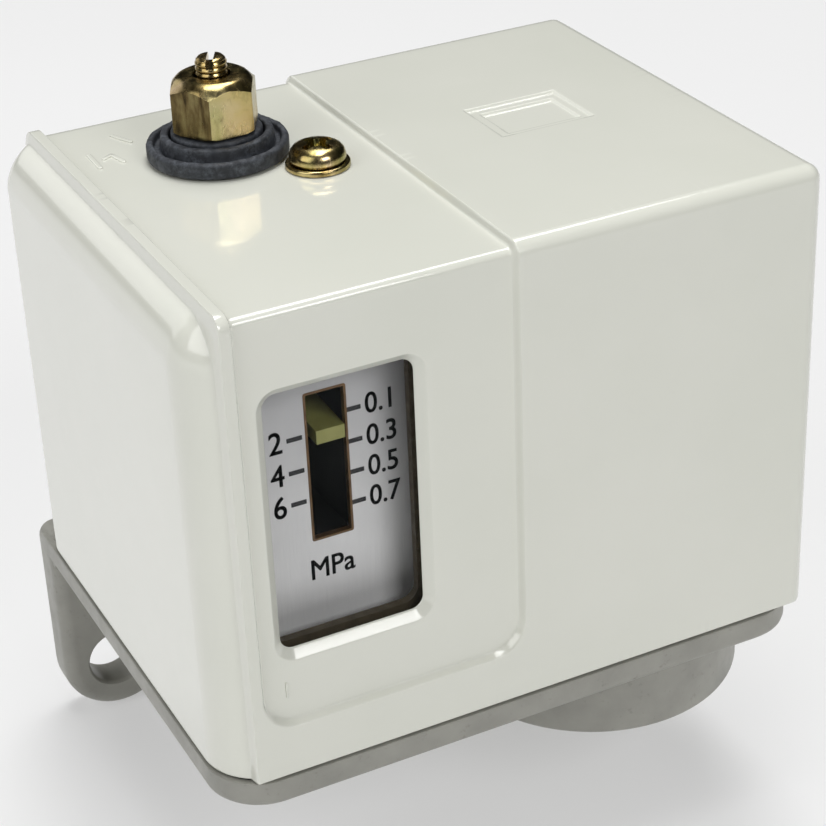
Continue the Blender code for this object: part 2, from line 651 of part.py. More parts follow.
def lock_nut():
    """Hex nut with a rounded crown and a hole for the stud."""
    corner = HEX_FLATS / math.sqrt(3)
    hexagon = rod("lock_nut", corner, HEX_BOTTOM, HEX_TOP, (ADJUSTER_X, ADJUSTER_Y), ZINC, segments=6)
    hexagon.rotation_euler = (0, 0, HEX_TURN)
    crown_profile = [(0, HEX_TOP), (3.9 * MM, HEX_TOP), (4.6 * MM, HEX_TOP - 0.25 * MM),
                     (5.05 * MM, HEX_TOP - 0.8 * MM), (corner + 0.1 * MM, HEX_TOP - 1.3 * MM),
                     (corner + 0.1 * MM, HEX_BOTTOM + 0.4 * MM), (corner - 0.5 * MM, HEX_BOTTOM),
                     (0, HEX_BOTTOM)]
    crown = turned("cut_crown", crown_profile, None, (ADJUSTER_X, ADJUSTER_Y), 36)
    combine(hexagon, [crown], "INTERSECT")
    combine(hexagon, [rod("cut_nut_thread", 3.4 * MM, HEX_BOTTOM - 1 * MM, 69.9 * MM,
                          (ADJUSTER_X, ADJUSTER_Y)),
                      rod("cut_nut_hole", STUD_RADIUS + 0.3 * MM, 69 * MM, HEX_TOP + 1 * MM,
                          (ADJUSTER_X, ADJUSTER_Y))])


def range_bracket():
    """Bent sheet: foot on the floor, wall behind the spring, bridge over it."""
    foot_low = FLOOR_TOP + GAP
    wall = RANGE_WALL_Y
    bend = BEND_RADIUS
    inner = bend - SHEET
    side = [(RANGE_FOOT_FRONT, foot_low)]
    side += arc((wall[1] - bend, foot_low + bend), bend, -90, 0, 4)
    side += arc((wall[1] - bend, BRIDGE_TOP - bend), bend, 0, 90, 4)
    side += [(BRIDGE_FRONT, BRIDGE_TOP), (BRIDGE_FRONT, BRIDGE_TOP - SHEET)]
    side += arc((wall[0] - inner, BRIDGE_TOP - SHEET - inner), inner, 90, 0, 3)
    side += arc((wall[0] - inner, foot_low + SHEET + inner), inner, 0, -90, 3)
    side += [(RANGE_FOOT_FRONT, foot_low + SHEET)]
    bracket = plate("range_bracket", [side], *RANGE_BRACKET_X, STEEL, "YZ")
    cutters = [rod("cut_bridge", STUD_RADIUS + 0.3 * MM, 52 * MM, 57 * MM, (ADJUSTER_X, ADJUSTER_Y)),
               rod("cut_pillar", COVER_SCREW_HOLE, 52 * MM, 57 * MM, (COVER_SCREW_X, COVER_SCREW_Y),
                   segments=16)]
    for place_xy in bracket_screw_places():
        cutters.append(rod("cut_foot", SCREW_HOLE, -3 * MM, 2 * MM, place_xy, segments=12))
    combine(bracket, cutters)


def floor_screws():
    foot_top = FLOOR_TOP + GAP + SHEET
    for i, centre in enumerate(bracket_screw_places()):
        screw_part(f"bracket_screw_{i + 1}", centre, foot_top + GAP, HEAD_RADIUS, HEAD_HEIGHT, SCREW_SHANK,
                   SCREW_END, ZINC, 16)
    for i, centre in enumerate(switch_foot_places()):
        screw_part(f"switch_foot_screw_{i + 1}", centre, foot_top + GAP, HEAD_RADIUS, HEAD_HEIGHT,
                   SCREW_SHANK, SCREW_END, ZINC, 16)
    screw_part("dial_screw", dial_screw_place(), FLOOR_TOP + 2 * GAP + DIAL_THICKNESS, HEAD_RADIUS - 0.2 * MM,
               HEAD_HEIGHT - GAP, SCREW_SHANK, SCREW_END, ZINC, 16)
    screw_part("earth_screw", earth_place(), FLOOR_TOP + GAP, HEAD_RADIUS + 0.2 * MM, HEAD_HEIGHT + 0.5 * MM,
               SCREW_SHANK, SCREW_END, ZINC, 16)


# ---------------------------------------------------------------- snap-action switch

def switch_body():
    body = box("switch_body", SWITCH_LOW, SWITCH_HIGH, SWITCH, bevel=0.6 * MM, segments=1)
    cutters = [rod("cut_button", 1.9 * MM, SWITCH_LOW[2] - 1 * MM, SWITCH_LOW[2] + 5 * MM,
                   (ACTUATOR_X, ACTUATOR_Y), segments=20)]
    for x, z in switch_screw_places():
        cutters.append(rod("cut_mounting", SCREW_HOLE, -47 * MM, -28 * MM, (x, z), axis="Y", segments=16))
    for x in TERMINAL_XS:
        cutters.append(rod("cut_terminal", TERMINAL_HOLE, SWITCH_HIGH[2] - 4 * MM, SWITCH_HIGH[2] + 1 * MM,
                           (x, (SWITCH_LOW[1] + SWITCH_HIGH[1]) / 2), segments=12))
    combine(body, cutters)


def switch_screw_places():
    return [(4 * MM, 27 * MM), (28 * MM, 27 * MM)]


def switch_button():
    low = SWITCH_LOW[2] - 1.5 * MM
    profile = [(0, low + 4.2 * MM), (1.6 * MM, low + 4.2 * MM), (1.6 * MM, low + 0.5 * MM), (1.1 * MM, low),
               (0, low)]
    turned("switch_button", profile, POINTER, (ACTUATOR_X, ACTUATOR_Y), 16)


def switch_bracket():
    """Bent sheet behind the switch."""
    foot_low = FLOOR_TOP + GAP
    front = SWITCH_HIGH[1] + GAP
    bend = BEND_RADIUS
    inner = bend - SHEET
    side = [(front, SWITCH_BRACKET_TOP)]
    side += arc((front + bend, foot_low + bend), bend, 180, 270, 4)
    side += [(SWITCH_BRACKET_REAR, foot_low), (SWITCH_BRACKET_REAR, foot_low + SHEET)]
    side += arc((front + SHEET + inner, foot_low + SHEET + inner), inner, 270, 180, 3)
    side += [(front + SHEET, SWITCH_BRACKET_TOP)]
    bracket = plate("switch_bracket", [side], 0, TERMINAL_XS[-1] + 1 * MM, STEEL, "YZ")
    cutters = [rod("cut_switch_hole", SCREW_HOLE, -32 * MM, -26 * MM, place_xz, axis="Y", segments=12)
               for place_xz in switch_screw_places()]
    cutters += [rod("cut_switch_foot", SCREW_HOLE, -3 * MM, 2 * MM, centre, segments=12)
                for centre in switch_foot_places()]
    combine(bracket, cutters)


def switch_screws():
    """Screws through the switch body into nuts behind the bracket."""
    for i, (x, z) in enumerate(switch_screw_places()):
        front = SWITCH_LOW[1] - GAP
        shank = rod(f"switch_screw_{i + 1}", SCREW_SHANK, front - 0.5 * MM, SWITCH_SCREW_END, (x, z), ZINC,
                    axis="Y", segments=12)
        head = rod("switch_screw_head", HEAD_RADIUS, front - HEAD_HEIGHT, front, (x, z), axis="Y",
                   segments=16)
        combine(shank, [head], "UNION")
        back = SWITCH_HIGH[1] + GAP + SHEET + GAP
        nut = rod(f"switch_nut_{i + 1}", NUT_RADIUS, back, back + 2 * MM, (x, z), ZINC, axis="Y", segments=6)
        combine(nut, [rod("cut_switch_nut", 1.7 * MM, back - 1 * MM, back + 3 * MM, (x, z), axis="Y",
                          segments=12)])


def terminals():
    """Three terminal plates on top of the switch, each with its clamp screw."""
    middle = (SWITCH_LOW[1] + SWITCH_HIGH[1]) / 2
    top = SWITCH_HIGH[2]
    for i, (x, name) in enumerate(zip(TERMINAL_XS, ("common", "normally_open", "normally_closed"))):
        low = (x - 4 * MM, middle - 4 * MM, top + GAP)
        high = (x + 4 * MM, middle + 4 * MM, top + GAP + 1 * MM)
        tab = box(f"terminal_{name}", low, high, BRASS)
        combine(tab, [rod("cut_tab", TERMINAL_HOLE, top - 1 * MM, top + 3 * MM, (x, middle), segments=12)])
        screw_part(f"terminal_screw_{i + 1}", (x, middle), high[2] + GAP, 2.9 * MM, 2.1 * MM, 1.3 * MM,
                   top - 3 * MM, ZINC, 16)


# ---------------------------------------------------------------- dial

def dial_plate():
    slot = [(SLOT_X[0], SLOT_Z[0]), (SLOT_X[1], SLOT_Z[0]), (SLOT_X[1], SLOT_Z[1]), (SLOT_X[0], SLOT_Z[1])]
    floor = FLOOR_TOP + GAP
    outline = [(DIAL_LEFT, DIAL_BOTTOM), (STEM_LEFT, DIAL_BOTTOM), (STEM_LEFT, floor), (DIAL_RIGHT, floor),
               (DIAL_RIGHT, DIAL_TOP), (DIAL_LEFT, DIAL_TOP)]
    dial = plate("dial_plate", [outline, slot], DIAL_FRONT, DIAL_FRONT + DIAL_THICKNESS, DIAL, "XZ")
    foot = box("dial_foot", (STEM_LEFT, DIAL_FRONT + 0.2 * MM, floor),
               (DIAL_RIGHT + 1.5 * MM, FOOT_REAR, floor + DIAL_THICKNESS))
    combine(dial, [foot], "UNION")
    combine(dial, [rod("cut_dial_foot", SCREW_HOLE, -3 * MM, 2 * MM, dial_screw_place(), segments=12)])


# ---------------------------------------------------------------- cover

def select_edges(bm, test):
    return [edge for edge in bm.edges if test((edge.verts[0].co + edge.verts[1].co) / 2)]


def cover_block(name, low, high, left_radius, spec=None):
    """Upright block, open edges below left sharp, its left edges rounded by their own radius."""
    bm = bmesh.new()
    size = [high[i] - low[i] for i in range(3)]
    bmesh.ops.create_cube(bm, size=1.0, matrix=Matrix.Diagonal((*size, 1)))
    half = [value / 2 for value in size]
    if left_radius:
        inside = [value * 0.9 for value in half]
        edges = select_edges(bm, lambda p: p.x < -inside[0] and p.z > -inside[2] and p.y < inside[1])
        bmesh.ops.bevel(bm, geom=edges, offset=left_radius, segments=6, profile=0.5, affect="EDGES")
    limit = 1e-6
    others = select_edges(bm, lambda p: p.z > -half[2] + limit and (
        (abs(p.x) > half[0] - limit and abs(p.y) > half[1] - limit)
        or (abs(p.x) > half[0] - limit and abs(p.z) > half[2] - limit)
        or (abs(p.y) > half[1] - limit and abs(p.z) > half[2] - limit)))
    bmesh.ops.bevel(bm, geom=others, offset=EDGE_RADIUS, segments=3, profile=0.5, affect="EDGES")
    return place(name, mesh_from(name, bm), spec, [(low[i] + high[i]) / 2 for i in range(3)])


def cover():
    main = cover_block("cover", (COVER_LEFT + SHOULDER_WIDTH, COVER_FRONT, 0),
                       (COVER_RIGHT, COVER_BACK, COVER_HEIGHT), 0, WHITE)
    shoulder = cover_block("cover_shoulder", (COVER_LEFT, COVER_FRONT + SHOULDER_DROP, 0),
                           (COVER_LEFT + 20 * MM, COVER_BACK - SHOULDER_DROP, COVER_HEIGHT - SHOULDER_DROP),
                           SHOULDER_RADIUS)
    combine(main, [shoulder], "UNION")
    cavity = cover_block("cut_cavity", (COVER_LEFT + COVER_WALL, COVER_FRONT + FRONT_WALL, -5 * MM),
                         (COVER_RIGHT - COVER_WALL, COVER_BACK - COVER_WALL, CEILING), 5.0 * MM)
    front_panel = plate("cut_front_panel",
                        [rounded((PANEL_LEFT, PANEL_BOTTOM), (PANEL_RIGHT, COVER_HEIGHT + 5 * MM),
                                 (PANEL_RADIUS, PANEL_RADIUS, 0, 0))],
                        COVER_FRONT - 1 * MM, COVER_FRONT + PANEL_DEPTH, plane="XZ")
    top_panel = plate("cut_top_panel",
                      [rounded((PANEL_LEFT, COVER_FRONT - 2 * MM), (PANEL_RIGHT, COVER_BACK + 2 * MM), 0)],
                      COVER_HEIGHT - PANEL_DEPTH, COVER_HEIGHT + 5 * MM)
    combine(main, [cavity, front_panel, top_panel, window_cutter(), lens_seat(),
                   rod("cut_grommet", 7.6 * MM, 55 * MM, 70 * MM, (ADJUSTER_X, ADJUSTER_Y), segments=28),
                   rod("cut_cover_screw", COVER_SCREW_HOLE, 55 * MM, 70 * MM, (COVER_SCREW_X, COVER_SCREW_Y),
                       segments=16)])


def window_outline(grow=0.0):
    x, z = WINDOW_CENTRE
    half_x = WINDOW_SIZE[0] / 2 + grow
    half_z = WINDOW_SIZE[1] / 2 + grow
    return rounded((x - half_x, z - half_z), (x + half_x, z + half_z), WINDOW_RADIUS + grow / 2, 4)


def window_cutter():
    return plate("cut_window", [window_outline()], COVER_FRONT - 1 * MM, COVER_FRONT + 4 * MM, plane="XZ")


def lens_seat():
    """Wider step inside the front wall in which the lens and its seal sit."""
    return plate("cut_lens_seat", [window_outline(1.6 * MM)], COVER_FRONT + 2.1 * MM, COVER_FRONT + 5 * MM,
                 plane="XZ")


def window_lens():
    front = COVER_FRONT + 2.1 * MM + GAP
    plate("window_lens", [window_outline(1.3 * MM)], front, front + LENS_THICKNESS, CLEAR, "XZ")


def lens_retainer():
    """Rubber frame that holds the lens in its seat from behind."""
    front = COVER_FRONT + 2.1 * MM + 2 * GAP + LENS_THICKNESS
    plate("lens_seal_frame", [window_outline(2.4 * MM), window_outline(0.4 * MM)], front, front + 1.2 * MM,
          RUBBER, "XZ")


def cover_gasket():
    """Ring in the groove of the base under the cover's edge."""
    outer = 1.3 * MM
    wide = 1.2 * MM
    half = BASE_WIDTH / 2 - outer
    radius = BASE_RADIUS - outer
    outline = rounded((-half, BASE_FRONT + outer), (half, -6.7 * MM), (radius, radius, 1 * MM, 1 * MM))
    inner = rounded((-half + wide, BASE_FRONT + outer + wide), (half - wide, -6.7 * MM - wide),
                    (radius - wide, radius - wide, 0.5 * MM, 0.5 * MM))
    plate("cover_gasket", [outline, inner], FLOOR_TOP + GAP, -0.25 * MM, RUBBER)


def adjuster_grommet():
    """Rubber collar: flange outside the cover, groove in the hole, skirt inside."""
    top = COVER_HEIGHT - PANEL_DEPTH
    hole = GROMMET_HOLE
    low = CEILING - 1.5 * MM
    profile = [(hole, top + 3.0 * MM), (6.9 * MM, top + 3.3 * MM), (7.4 * MM, top + 2.4 * MM),
               (8.4 * MM, top + 2.5 * MM), (GROMMET_RADIUS, top + 1.8 * MM), (GROMMET_RADIUS, top + 0.9 * MM),
               (8.7 * MM, top + GAP), (7.3 * MM, top + GAP), (7.3 * MM, CEILING - GAP),
               (8.6 * MM, CEILING - GAP), (8.4 * MM, low), (hole, low)]
    turned("adjuster_grommet", profile, RUBBER, (ADJUSTER_X, ADJUSTER_Y), 40)


def cover_screw():
    """Pan-head screw with a washer, a cross recess in its head."""
    panel_top = COVER_HEIGHT - PANEL_DEPTH
    washer_low = panel_top + FACE_GAP
    washer_top = washer_low + 0.7 * MM
    turned("cover_screw_washer",
           [(COVER_SCREW_HOLE, washer_top), (WASHER_RADIUS - 0.1 * MM, washer_top),
            (WASHER_RADIUS, washer_top - 0.2 * MM), (WASHER_RADIUS, washer_low),
            (COVER_SCREW_HOLE, washer_low)], ZINC, (COVER_SCREW_X, COVER_SCREW_Y), 28)
    head = washer_top + FACE_GAP
    screw = screw_part("cover_screw", (COVER_SCREW_X, COVER_SCREW_Y), head, COVER_HEAD_RADIUS,
                       COVER_HEAD_HEIGHT, 1.6 * MM, COVER_SCREW_END, ZINC, 24)
    cuts = []
    for i, angle in enumerate((20, 110)):
        blade = box(f"cut_cross_{i + 1}", (-1.7 * MM, -0.35 * MM, -1.2 * MM), (1.7 * MM, 0.35 * MM, 1.2 * MM))
        blade.location = (COVER_SCREW_X, COVER_SCREW_Y, head + COVER_HEAD_HEIGHT)
        blade.rotation_euler = (0, 0, math.radians(angle))
        cuts.append(blade)
    combine(screw, cuts)


def cover_pillar():
    """Hex standoff on the bridge that takes the cover screw."""
    low = BRIDGE_TOP + GAP
    high = CEILING - GAP
    pillar = rod("cover_pillar", NUT_RADIUS, low, high, (COVER_SCREW_X, COVER_SCREW_Y), ZINC, segments=6)
    combine(pillar, [rod("cut_pillar_thread", SCREW_HOLE, low - 1 * MM, high + 1 * MM,
                         (COVER_SCREW_X, COVER_SCREW_Y), segments=16)])


def cable_grommet():
    """Rubber cable entry in the base floor, flat underneath round its hole."""
    low = BASE_BOTTOM - GAP
    high = FLOOR_TOP + GAP
    hole = 3.6 * MM
    profile = [(hole, high + 1.6 * MM), (8.6 * MM, high + 1.4 * MM), (9.3 * MM, high), (7.7 * MM, high),
               (7.7 * MM, low), (9.3 * MM, low), (8.6 * MM, low - 1.4 * MM), (6.6 * MM, low - 2.0 * MM),
               (hole, low - 2.0 * MM)]
    turned("cable_grommet", profile, RUBBER, (CABLE_X, CABLE_Y), 28)


clear_scene()
PARTS = collection("pressure_switch")
CUTTERS = collection("cutters")
base_casting()
pressure_housing()
housing_screws()
housing_seal()
bellows()
push_rod()
main_lever()
pivot_pin()
pivot_clip()
actuator_screw()
lower_seat()
range_spring()
spring_nut()
setpoint_pointer()
adjusting_screw()
guide_bushing()
dust_ring()
lock_nut()
range_bracket()
floor_screws()
switch_body()
switch_button()
switch_bracket()
switch_screws()
terminals()
dial_plate()
cover()
window_lens()
lens_retainer()
cover_gasket()
adjuster_grommet()
cover_screw()
cover_pillar()
cable_grommet()
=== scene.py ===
"""Looks of the pressure switch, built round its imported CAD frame. Metres, +Z up, the front towards -Y."""
import math

import bmesh
import bpy
from mathutils import Matrix, Vector, noise


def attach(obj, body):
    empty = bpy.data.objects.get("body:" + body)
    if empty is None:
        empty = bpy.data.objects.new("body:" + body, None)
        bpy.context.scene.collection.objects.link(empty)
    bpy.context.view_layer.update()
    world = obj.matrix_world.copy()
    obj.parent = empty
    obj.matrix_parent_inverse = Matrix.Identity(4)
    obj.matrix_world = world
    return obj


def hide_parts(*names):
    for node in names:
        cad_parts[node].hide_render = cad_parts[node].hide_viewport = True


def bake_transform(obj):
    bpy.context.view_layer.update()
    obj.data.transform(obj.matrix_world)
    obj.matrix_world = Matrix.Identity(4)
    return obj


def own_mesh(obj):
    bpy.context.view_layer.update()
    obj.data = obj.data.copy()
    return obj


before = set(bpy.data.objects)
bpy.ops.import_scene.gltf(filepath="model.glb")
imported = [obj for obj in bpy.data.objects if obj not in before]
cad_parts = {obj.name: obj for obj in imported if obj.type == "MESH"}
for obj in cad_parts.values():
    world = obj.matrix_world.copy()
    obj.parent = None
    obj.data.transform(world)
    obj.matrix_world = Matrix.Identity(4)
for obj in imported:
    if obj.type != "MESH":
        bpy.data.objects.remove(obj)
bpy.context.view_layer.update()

MM = 0.001

# Sizes and places in millimetres: cover. A box is (low X, high X, low Y, high Y).
LEFT, RIGHT = -41.65, 41.65
FRONT, BACK = -71.5, -6.0
HEIGHT = 62.9
SHOULDER_RADIUS = 7.5
SHOULDER_DROP = 0.3
STEP = (-38.35, -37.85)                   # where the shoulder rises to the main block
EDGE_RADIUS = 2.0
LEAST_RADIUS = 0.15
BACK_ROUNDER = 1.6                        # the back's edge is this much rounder than the front's
PANEL = (-36.3, -1.05)
PANEL_BOTTOM = 7.2
PANEL_DEPTH = 1.0
PANEL_RADIUS = 4.5
WALL_WIDTH = 0.62                         # width of the sloping wall round the panel
FIELD_OUTER = (13.0, 26.1, -42.6, -32.4)
FIELD_INNER = (14.5, 24.9, -41.3, -34.0)
FIELD_STEP = 0.32
WINDOW = (-32.85, 16.9, -13.95, 51.1)     # low X, low Z, high X, high Z
CAVITY_LOW = (-39.45, -68.6, -5.0)
CAVITY_HIGH = (39.45, -8.2, 60.0)

# Base
HALF_BASE = 41.95
BASE_FRONT = -71.6
PLATE_HALF = 41.9
PLATE_THICKNESS = 5.7
PLATE_TOP = 4.3
PLATE_CORNER_TOP = 0.3
LUG = (33.5, -23.2)
LUG_RADIUS = 8.4
LUG_HOLE = (34.05, -23.0)
LUG_HOLE_RADIUS = 4.2
TRAY_FLOOR = -4.0                         # underside of the base's floor
PORT = (21.45, -49.2)
CABLE = (-24.0, -50.0)
PIVOT = (35.0, 10.0)                      # X and Z of the lever's pin

# Adjuster, screw, dial, switch
ADJUSTER = (-19.05, -26.5)
SCREW = (-9.85, -36.5)
BRACKET_SCREWS = ((-26.5, -33.5), (-11.5, -33.5))
FOOT_SCREWS = ((5, -19), (29, -19))
DIAL_SCREW = (-6, -57.5)
EARTH_SCREW = (-34.2, -20)
SWITCH_MIDDLE = -37.75                    # Y of the switch's middle plane
SWITCH_SCREWS = ((4, 27), (28, 27))
TERMINALS = (0, 16, 32)
DIAL_FRONT = -63.5
DIAL_BACK = DIAL_FRONT + 0.8
NUT_TURN = 2.4
SLOT_TURN = 62.0
SEAT_TOP, SEAT_UNDER = 12.8, 45.0         # where the range spring stands and where it ends
SPRING_GAP = 0.3
FLOOR_TOP = -31.7

# Camera: where it stands, its azimuth, elevation and roll, its focal length
CAMERA_PLACE = (-114.15, -277.53, 172.98)
CAMERA_TURN = (-25.666, 29.232, -2.570)
FOCAL_LENGTH = 99.43

# Light
FLOOR_GLOW = 0.38
WORLD_STRENGTH = 0.12
KEY_POWER = 3.2
TOP_POWER = 8.6
FRONT_POWER = 4.0
BACK_POWER = 1.4


# ---------------------------------------------------------------- materials

def nodes_of(name):
    made = bpy.data.materials.new(name)
    made.use_nodes = True
    tree = made.node_tree
    return made, tree, tree.nodes["Principled BSDF"]


def add(tree, kind, **values):
    node = tree.nodes.new(kind)
    for key, value in values.items():
        setattr(node, key, value)
    return node


def link(output, socket):
    socket.id_data.links.new(output, socket)


def put(node, **values):
    """Constants on a node's sockets; an underscore stands for a space in a socket's name."""
    for key, value in values.items():
        node.inputs[key.replace("_", " ")].default_value = value


def noise_node(tree, vector, size, detail=3.0, rough=0.55, distortion=0.0):
    """Noise whose patches are about size millimetres across."""
    node = add(tree, "ShaderNodeTexNoise")
    put(node, Scale=1000.0 / size, Detail=detail, Roughness=rough, Distortion=distortion)
    link(vector, node.inputs["Vector"])
    return node.outputs["Fac"]


def ramp(tree, factor, stops):
    node = add(tree, "ShaderNodeValToRGB")
    elements = node.color_ramp.elements
    while len(elements) < len(stops):
        elements.new(0.5)
    for element, (position, colour) in zip(elements, stops):
        element.position = position
        element.color = (*colour, 1)
    link(factor, node.inputs["Fac"])
    return node.outputs["Color"]


def two_tone(tree, factor, dark, light):
    return ramp(tree, factor, [(0.3, dark), (0.7, light)])


def spread(tree, factor, low, high, start=0.3, end=0.7):
    node = add(tree, "ShaderNodeMapRange")
    put(node, From_Min=start, From_Max=end, To_Min=low, To_Max=high)
    link(factor, node.inputs["Value"])
    return node.outputs["Result"]


def mix(tree, factor, first, second):
    node = add(tree, "ShaderNodeMix", data_type="RGBA", blend_type="MIX")
    for socket, value in ((node.inputs[0], factor), (node.inputs[6], first), (node.inputs[7], second)):
        if isinstance(value, bpy.types.NodeSocket):
            link(value, socket)
        elif isinstance(value, tuple):
            socket.default_value = (*value, 1)
        else:
            socket.default_value = value
    return node.outputs[2]


def bump(tree, shader, height, strength, distance):
    node = add(tree, "ShaderNodeBump")
    put(node, Strength=strength, Distance=distance * MM)
    link(height, node.inputs["Height"])
    previous = shader.inputs["Normal"].links
    if previous:
        link(previous[0].from_socket, node.inputs["Normal"])
    link(node.outputs["Normal"], shader.inputs["Normal"])


def stretched(tree, scale):
    """Object coordinates stretched by scale, for grain that runs one way."""
    coordinates = add(tree, "ShaderNodeTexCoord").outputs["Object"]
    mapping = add(tree, "ShaderNodeMapping")
    put(mapping, Scale=scale)
    link(coordinates, mapping.inputs["Vector"])
    return mapping.outputs["Vector"]


def surface(name, dark, light, patch, rough, metallic=0.0, grain=(0.4, 0.1, 0.02), scale=(1, 1, 1),
            **sockets):
    """Material whose colour, roughness and relief all come from noise. grain: size, strength, depth in mm."""
    made, tree, shader = nodes_of(name)
    vector = stretched(tree, scale)
    colour = two_tone(tree, noise_node(tree, vector, patch, 4.0, 0.6), dark, light)
    link(colour, shader.inputs["Base Color"])
    link(spread(tree, noise_node(tree, vector, patch * 0.6), *rough), shader.inputs["Roughness"])
    put(shader, Metallic=metallic, **sockets)
    bump(tree, shader, noise_node(tree, vector, grain[0], 2.0), grain[1], grain[2])
    return made


def cover_material():
    """Glossy off-white moulding: faint mottling, haze and dust under a clear skin."""
    made, tree, shader = nodes_of("cover_gloss")
    vector = stretched(tree, (1, 1, 1))
    tone = two_tone(tree, noise_node(tree, vector, 26, 3.0), (0.735, 0.745, 0.665), (0.765, 0.77, 0.695))
    dust = spread(tree, noise_node(tree, vector, 0.5, 4.0, 0.7), 0.0, 0.25, 0.62, 0.75)
    link(mix(tree, dust, tone, (0.70, 0.69, 0.60)), shader.inputs["Base Color"])
    haze = noise_node(tree, vector, 9, 5.0, 0.65, 0.4)
    link(spread(tree, haze, 0.09, 0.19), shader.inputs["Roughness"])
    put(shader, Coat_Weight=0.8, Coat_Roughness=0.05)
    bump(tree, shader, noise_node(tree, vector, 16, 2.0), 0.10, 0.25)
    bump(tree, shader, noise_node(tree, vector, 1.3, 2.0), 0.05, 0.02)
    return made


def facing(tree, direction, start, end):
    """1 where the piece's own surface faces a direction, 0 where it faces away from it."""
    product = add(tree, "ShaderNodeVectorMath", operation="DOT_PRODUCT")
    link(add(tree, "ShaderNodeTexCoord").outputs["Normal"], product.inputs[0])
    product.inputs[1].default_value = direction
    return spread(tree, product.outputs["Value"], 0.0, 1.0, start, end)


def zinc_material(name, patch=2.6, painted_shade_side=None):
    """Yellow-passivated zinc: gold to olive with green and rosy patches and random dark stains; with a side
    given, the faces that point that way are darkened in streaks as painted shade.
    """
    made, tree, shader = nodes_of(name)
    vector = stretched(tree, (1, 1, 0.45))
    base = ramp(tree, noise_node(tree, vector, patch, 4.0, 0.6, 0.8),
                [(0.28, (0.16, 0.12, 0.045)), (0.42, (0.38, 0.28, 0.11)), (0.55, (0.56, 0.43, 0.20)),
                 (0.72, (0.64, 0.49, 0.30))])
    green = spread(tree, noise_node(tree, vector, patch * 1.7, 2.0), 0.0, 0.5, 0.5, 0.68)
    colour = mix(tree, green, base, (0.27, 0.32, 0.12))
    # Painted shade: faces that point to the given side take dark streaky colour, which stands in for the
    # nut's dark side.
    if painted_shade_side:
        streaks = ramp(tree, noise_node(tree, stretched(tree, (1, 1, 0.3)), 1.6, 3.0, 0.6, 0.5),
                       [(0.32, (0.035, 0.025, 0.012)), (0.5, (0.13, 0.095, 0.04)),
                        (0.68, (0.24, 0.20, 0.09))])
        colour = mix(tree, facing(tree, painted_shade_side, 0.55, 0.9), colour, streaks)
    stain = spread(tree, noise_node(tree, vector, patch * 0.5, 4.0, 0.7), 0.0, 0.55, 0.56, 0.72)
    link(mix(tree, stain, colour, (0.09, 0.06, 0.024)), shader.inputs["Base Color"])
    link(spread(tree, noise_node(tree, vector, 1.1), 0.14, 0.32), shader.inputs["Roughness"])
    put(shader, Metallic=1.0)
    bump(tree, shader, noise_node(tree, vector, 0.5, 3.0), 0.25, 0.02)
    return made


def rubber_material():
    """Black rubber with pale dust lying on it."""
    made, tree, shader = nodes_of("black_rubber")
    vector = stretched(tree, (1, 1, 1))
    dark = two_tone(tree, noise_node(tree, vector, 2.2, 3.0), (0.012, 0.014, 0.018), (0.03, 0.034, 0.042))
    patches = spread(tree, noise_node(tree, vector, 1.0, 6.0, 0.75), 0.0, 0.8, 0.44, 0.7)
    film = add(tree, "ShaderNodeMath", operation="MULTIPLY")
    link(patches, film.inputs[0])
    link(spread(tree, noise_node(tree, vector, 5.0, 2.0), 0.25, 1.0, 0.35, 0.6), film.inputs[1])
    link(mix(tree, film.outputs[0], dark, (0.13, 0.145, 0.17)), shader.inputs["Base Color"])
    link(spread(tree, noise_node(tree, vector, 1.4), 0.5, 0.82), shader.inputs["Roughness"])
    bump(tree, shader, noise_node(tree, vector, 0.7, 4.0, 0.7), 0.5, 0.08)
    return made


def cast_material():
    """Grey enamel over a die casting: fine orange peel and small pits."""
    made, tree, shader = nodes_of("die_cast_grey")
    vector = stretched(tree, (1, 1, 1))
    tone = two_tone(tree, noise_node(tree, vector, 7, 4.0), (0.275, 0.272, 0.243), (0.345, 0.34, 0.305))
    dirt = spread(tree, noise_node(tree, vector, 1.2, 5.0, 0.7), 0.0, 0.5, 0.6, 0.75)
    link(mix(tree, dirt, tone, (0.16, 0.155, 0.13)), shader.inputs["Base Color"])
    link(spread(tree, noise_node(tree, vector, 3.0), 0.32, 0.5), shader.inputs["Roughness"])
    put(shader, Metallic=0.15)
    bump(tree, shader, noise_node(tree, vector, 0.8, 3.0), 0.25, 0.04)
    bump(tree, shader, noise_node(tree, vector, 5.0, 2.0), 0.15, 0.12)
    return made


def dial_material():
    """Satin silver with painted light and shade: light at its lower edge and darker towards its upper edge,
    where the window's top edge shades it.
    """
    made, tree, shader = nodes_of("dial_silver")
    vector = stretched(tree, (1, 1, 1))
    split = add(tree, "ShaderNodeSeparateXYZ")
    link(vector, split.inputs["Vector"])
    height = add(tree, "ShaderNodeMath", operation="MULTIPLY_ADD")
    link(noise_node(tree, vector, 14, 2.0), height.inputs[0])
    height.inputs[1].default_value = 0.012
    link(split.outputs["Z"], height.inputs[2])
    # Painted light and shade: the colour goes by height, light at the bottom and dark at the top, with some
    # noise in it.
    share = spread(tree, height.outputs[0], 0.0, 1.0, 0.024, 0.052)
    tone = ramp(tree, share, [(0.0, (0.95, 0.95, 0.95)), (0.5, (0.84, 0.84, 0.84)),
                              (1.0, (0.60, 0.60, 0.61))])
    streaks = noise_node(tree, stretched(tree, (6, 1, 0.15)), 0.6, 2.0)
    link(mix(tree, spread(tree, streaks, 0.0, 0.2), tone, (0.6, 0.6, 0.61)), shader.inputs["Base Color"])
    link(spread(tree, streaks, 0.3, 0.46), shader.inputs["Roughness"])
    put(shader, Metallic=0.05)
    bump(tree, shader, streaks, 0.08, 0.01)
    return made


